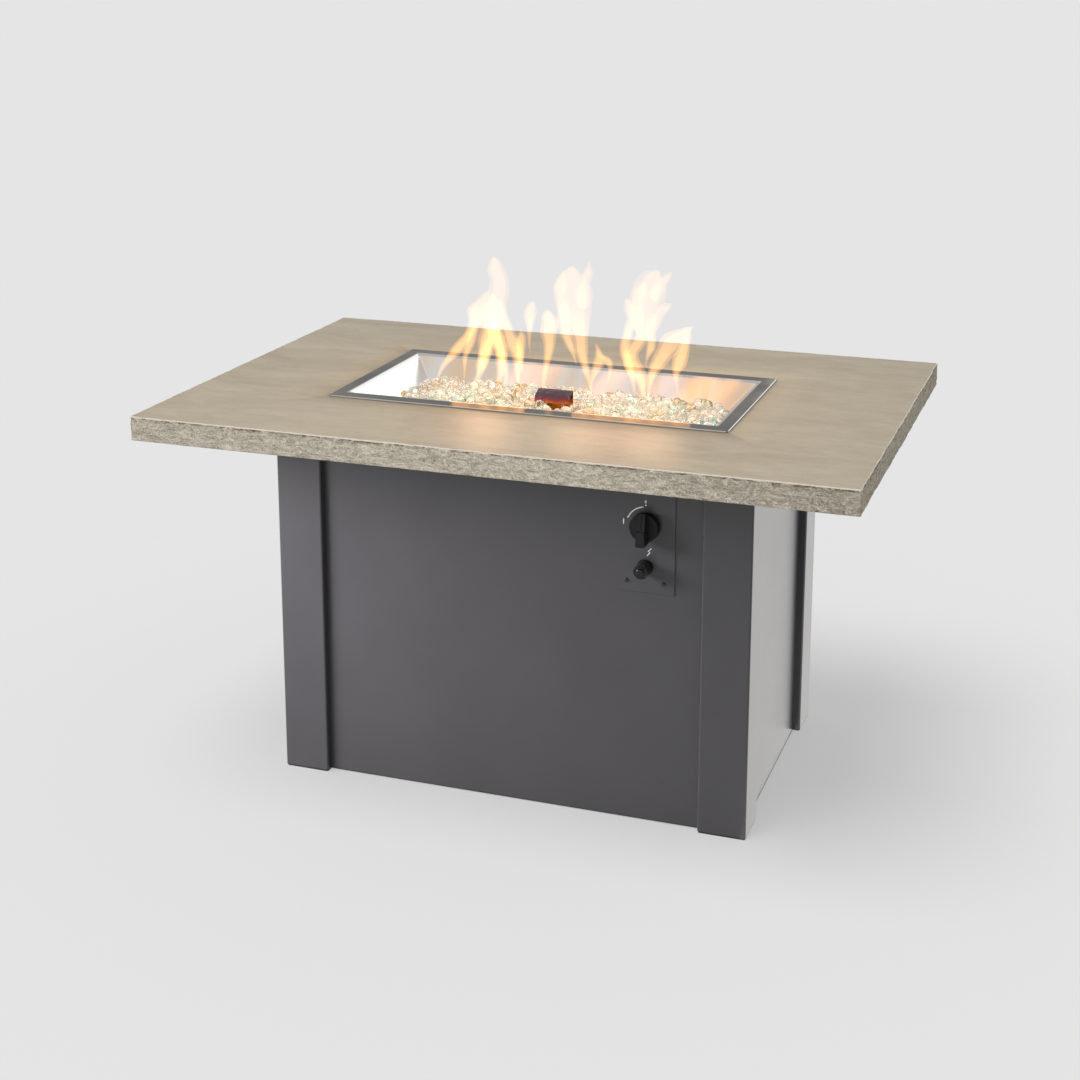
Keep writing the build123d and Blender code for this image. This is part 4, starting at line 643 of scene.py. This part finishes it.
def ink(piece):
    """White ink on a mark that stays on the plate."""
    piece.data.materials.append(white_print)
    base_parts.objects.link(piece)
    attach(piece, "base")


def printed(name, x, z):
    """Flat ribbon of ink a hair's breadth off the plate, through a grid of x and z."""
    points = np.stack([x, np.full_like(x, PRINT_Y), z], axis=-1)
    ink(grid_piece(name, points, wrap_u=False, wrap_v=False, smooth=False))


sweep = np.radians(np.linspace(97, 160, 64))[:, None]
width = np.array(ARC_RADII)[None, :]
printed("dial_arc", DIAL_X + width * np.cos(sweep), DIAL_Z + width * np.sin(sweep))
zigzag = np.array([(0.0030, 0.0060), (-0.0016, 0.0008), (0.0016, 0.0004), (-0.0030, -0.0060)])
printed("dial_spark", DIAL_X + 0.006 + zigzag[:, :1] + np.array([[-0.0008, 0.0008]]),
        DIAL_Z - 0.0400 + np.repeat(zigzag[:, 1:], 2, axis=1))
sweep = np.linspace(0, 2 * pi, 25)[:, None]
width = np.array([0.0, DOT_RADIUS])[None, :]
printed("dial_dot", DIAL_X + width * np.cos(sweep), DIAL_Z + DOT_UP + width * np.sin(sweep))
for word, x, z, tall in (("0", DIAL_X - 0.0020, DIAL_Z + 0.0352, 0.0062), ("1", DIAL_X - 0.0372, DIAL_Z, 0.0120)):
    letters = bpy.data.curves.new("figure_" + word, "FONT")
    letters.body, letters.size, letters.offset = word, tall, 0.00015
    flat_text = add("figure_" + word, letters)
    bpy.context.view_layer.update()
    text_mesh = bpy.data.meshes.new_from_object(flat_text)
    bpy.data.objects.remove(flat_text)
    spots = np.zeros(len(text_mesh.vertices) * 3)
    text_mesh.vertices.foreach_get("co", spots)
    spots = spots.reshape(-1, 3)
    placed = np.stack([spots[:, 0] + x, np.full(len(spots), PRINT_Y), spots[:, 1] + z], axis=1)
    text_mesh.vertices.foreach_set("co", placed.ravel())
    text_mesh.update()
    text_mesh.materials.clear()
    ink(add("mark_" + word, text_mesh))

# ---------------------------------------------------------------- knob, valve and igniter
# Matt black moulded knob on a zinc-plated stem, an aluminium valve behind, and
# a piezo igniter with a glossy cap and domed button.
cast_metal = grained("die_cast_aluminium", (0.50, 0.50, 0.50), (0.62, 0.62, 0.61), (0.4, 0.55), metallic=1.0)
gloss_black = grained("gloss_black", (0.006, 0.006, 0.007), (0.010, 0.010, 0.011), (0.12, 0.20), depth=0.00001,
                      specular=0.35)
sleeve_black = grained("sleeve_black", (0.02, 0.02, 0.02), (0.03, 0.03, 0.03), (0.5, 0.65))
shrink_sleeve = grained("battery_sleeve", (0.08, 0.08, 0.09), (0.11, 0.11, 0.12), (0.25, 0.35))
dress(moulded_black, "control_knob", "igniter_barrel", "igniter_nut")
dress(zinc_plate, "valve_stem", "battery_contacts")
dress(cast_metal, "valve_body")
dress(gloss_black, "igniter_cap", "igniter_button")
dress(sleeve_black, "igniter_lead")
dress(shrink_sleeve, "igniter_battery")

# ---------------------------------------------------------------- flames
# The lit gas isn't part of the product. Each tongue is a closed ribbon of
# glowing volume along a bent path: x, z and width in millimetres.
tongues = {
    "a": ((-133, 620, 10), (-120, 659, 17), (-108, 692, 20), (-106, 721, 24), (-103, 753, 28), (-101, 778, 26),
          (-106, 800, 22), (-107, 825, 1)),
    "b": ((-212, 592, 3), (-205, 618, 5), (-194, 637, 9), (-173, 662, 15), (-156, 682, 13), (-144, 705, 14),
          (-139, 728, 18), (-121, 750, 12), (-106, 771, 2)),
    "c": ((-160, 606, 2), (-157, 631, 4), (-153, 654, 8), (-146, 676, 12), (-139, 703, 13), (-129, 726, 12),
          (-114, 748, 2)),
    "d": ((-102, 600, 5), (-100, 626, 10), (-98, 658, 17), (-103, 686, 20), (-109, 711, 16), (-103, 740, 2)),
    "e": ((-69, 606, 4), (-67, 632, 9), (-63, 657, 16), (-70, 679, 20), (-82, 704, 16), (-93, 728, 12), (-99, 752, 2)),
    "f": ((-57, 630, 2), (-58, 645, 6), (-59, 670, 13), (-62, 686, 13), (-65, 701, 1)),
    "g": ((-42, 664, 1), (-43, 683, 4), (-44, 703, 8), (-47, 725, 15), (-46, 739, 14), (-40, 750, 1)),
    "h": ((-20, 606, 4), (-19, 636, 8), (-16, 667, 12), (-16, 699, 22), (-14, 721, 22), (-13, 742, 2)),
    "i": ((63, 600, 2), (59, 626, 5), (52, 651, 11), (44, 678, 16), (39, 706, 26), (30, 730, 42), (27, 761, 46),
          (22, 789, 40), (25, 814, 4)),
    "j": ((42, 742, 12), (45, 760, 20), (49, 782, 17), (52, 802, 12), (51, 823, 1)),
    "k": ((31, 646, 1), (29, 664, 5), (25, 685, 11), (18, 707, 15), (12, 729, 16), (10, 754, 2)),
    "l": ((60, 602, 2), (63, 628, 5), (67, 644, 10), (71, 659, 15), (68, 671, 10), (62, 690, 1)),
    "m": ((88, 622, 1), (88, 637, 4), (87, 651, 8), (82, 664, 9), (70, 673, 1)),
    "n": ((147, 590, 3), (145, 618, 8), (140, 642, 19), (129, 663, 22), (128, 681, 18), (142, 702, 17),
          (150, 724, 20), (151, 748, 34), (152, 776, 44), (158, 798, 34), (168, 815, 2)),
    "o": ((160, 766, 10), (168, 783, 17), (177, 798, 13), (188, 813, 1)),
    "p": ((129, 604, 2), (126, 629, 6), (120, 659, 13), (115, 684, 13), (121, 709, 13), (128, 732, 15),
          (123, 752, 17), (112, 769, 1)),
    "q": ((146, 655, 1), (152, 674, 5), (160, 694, 12), (160, 718, 13), (168, 740, 16), (180, 754, 11), (191, 761, 1)),
    "r": ((150, 594, 2), (156, 622, 5), (163, 650, 12), (175, 673, 20), (189, 696, 27), (203, 711, 20), (226, 728, 1)),
    "t": ((-130, 634, 3), (-125, 660, 13), (-120, 688, 25), (-116, 712, 30), (-112, 738, 24), (-108, 762, 4)),
    "u": ((-92, 596, 3), (-91, 622, 8), (-94, 650, 13), (-96, 676, 15), (-98, 702, 12), (-103, 726, 2)),
    "v": ((-144, 592, 3), (-136, 612, 7), (-127, 636, 10), (-121, 662, 9), (-118, 692, 1)),
    "w": ((18, 704, 3), (12, 728, 14), (9, 756, 18), (10, 782, 18), (15, 806, 2)),
    "x": ((137, 700, 4), (136, 722, 14), (135, 748, 22), (138, 772, 22), (146, 796, 3)),
    "s": ((203, 600, 1), (200, 623, 3), (196, 644, 7), (201, 666, 19), (209, 685, 16), (216, 704, 11), (226, 728, 1)),
}
FLAME_RINGS, FLAME_SIDES = 7, 20
THINNEST = 0.00025
FADE_FROM, FADE_OVER = 0.675, 0.075


def burning(name, colour, strength):
    """Pure glow through a volume, so that a tongue is brightest where it is thickest."""
    material = bpy.data.materials.new(name)
    glow = wire(bare(material), "ShaderNodeEmission", Color=(*colour, 1.0), Strength=strength)
    wire(material.node_tree, "ShaderNodeOutputMaterial", Volume=glow.outputs[0])
    return material


flame_skin = burning("flame_skin", (1.0, 0.41, 0.07), 30.0)
flame_heart = burning("flame_heart", (1.0, 0.58, 0.19), 32.0)


def tongue(name, path, fatness, depth, material):
    """Closed tube along a smooth path: a ring of angles round it, each ring an ellipse
    as wide as the path says, flatter the higher it is, and both ends drawn to points.
    Slow sines set it forwards and back and ruffle its two sides."""
    path = np.array(path, float) / 1000
    fine = np.linspace(0, len(path) - 1, len(path) * FLAME_RINGS)
    low = np.clip(np.floor(fine).astype(int), 0, len(path) - 2)
    part = (fine - low)[:, None]
    before, start = path[np.clip(low - 1, 0, None)], path[low]
    end, after = path[low + 1], path[np.clip(low + 2, None, len(path) - 1)]
    line = 0.5 * (2 * start + (end - before) * part + (2 * before - 5 * start + 4 * end - after) * part**2
                  + (3 * start - before - 3 * end + after) * part**3)
    along = np.gradient(line[:, :2], axis=0)
    along /= np.linalg.norm(along, axis=1, keepdims=True) + 1e-9
    angle = np.linspace(0, 2 * pi, FLAME_SIDES, endpoint=False)
    share = np.linspace(0, 1, len(line))
    half = np.maximum(line[:, 2] / 2 * fatness, THINNEST) * np.clip(np.minimum(share, 1 - share) * 14, 0.05, 1)
    fade = 1 - 0.66 * np.clip((line[:, 1] - FADE_FROM) / FADE_OVER, 0, 1)
    deep = np.minimum(half, depth) * fade
    back_set = 0.010 * np.sin(share * 5 + path[0, 0] * 60)
    phase = line[:, 1, None] * 150 + path[0, 0] * 900
    waver = 0.07 + 0.06 * np.sin(phase * 0.37)
    ruffle = np.where(np.cos(angle) > 0, np.sin(phase), np.sin(phase * 1.23 + 2)) * waver
    round_x, round_y = (np.sign(f(angle)) * np.abs(f(angle)) ** p for f, p in ((np.cos, 0.75), (np.sin, 0.55)))
    side = half[:, None] * round_x * (1 + ruffle)
    points = np.stack([line[:, 0, None] + along[:, 1, None] * side, back_set[:, None] + deep[:, None] * round_y,
                       line[:, 1, None] - along[:, 0, None] * side], axis=-1)
    rows, columns = points.shape[:2]
    index = np.arange(rows * columns).reshape(rows, columns)
    onward = np.roll(index, -1, axis=1)
    faces = np.stack([index[:-1], onward[:-1], onward[1:], index[1:]], axis=-1).reshape(-1, 4).tolist()
    faces += [index[0, ::-1].tolist(), index[-1].tolist()]
    piece = mesh_piece(name, points.reshape(-1, 3).tolist(), faces)
    piece.data.materials.append(material)


for name, path in tongues.items():
    tongue("flame_" + name, path, 1.3, 0.0068, flame_skin)
    tongue("flame_heart_" + name, path, 0.80, 0.0044, flame_heart)

# Warm lamps inside the three groups of flames light the glass, the top and all
# else but the pan.
warmed = bpy.data.collections.new("warmed_parts")
for piece in (table_top, fire_glass, glass_bed, *(node for name, node in nodes.items() if name != "burner_pan")):
    warmed.objects.link(piece)
for index, (x, z, power) in enumerate(((-0.125, 0.690, 0.50), (0.030, 0.700, 0.40), (0.165, 0.690, 0.42))):
    glow = lamp("POINT", f"flame_light_{index}", (x, 0.0, z), (x, 0.0, 0.0), power, None, warmed, (1.0, 0.62, 0.33))
    glow.data.shadow_soft_size = 0.045

# Narrow warm lamps above the burner stand where the polished rear wall mirrors
# the flames as upright streaks.
for index, (x, power) in enumerate(((-0.21, 0.012), (-0.165, 0.009), (-0.04, 0.014), (0.055, 0.009), (0.12, 0.016),
                                    (0.165, 0.012))):
    lamp("AREA", f"streak_{index}", (x, 0.012, 0.80), (x + 0.09, 0.115, 0.575), power, (0.030, 0.16), pan_parts,
         (1.0, 0.42, 0.18))

# Two wide ones face the front flange, which mirrors the feet of the flames.
for index, (x, wide, power) in enumerate(((-0.118, 0.12, 0.022), (0.125, 0.19, 0.035))):
    lamp("AREA", f"foot_{index}", (x, 0.0, 0.657), (x + 0.059, -0.155, 0.6125), power, (wide, 0.03), pan_parts,
         (1.0, 0.45, 0.12))

# Two low warm strips over the top, in front of the pan, stand for the flames'
# soft sheen in its sealed face.
for index, (x, wide, power) in enumerate(((-0.050, 0.045, 0.030), (0.172, 0.090, 0.050))):
    sheen = lamp("AREA", f"sheen_{index}", (x, -0.250, 0.685), (x, -0.250, 0.0), power, (wide, 0.16), slab_parts,
                 (1.0, 0.34, 0.10))
    sheen.rotation_mode, sheen.rotation_euler = "XYZ", (0.0, 0.0, turn)
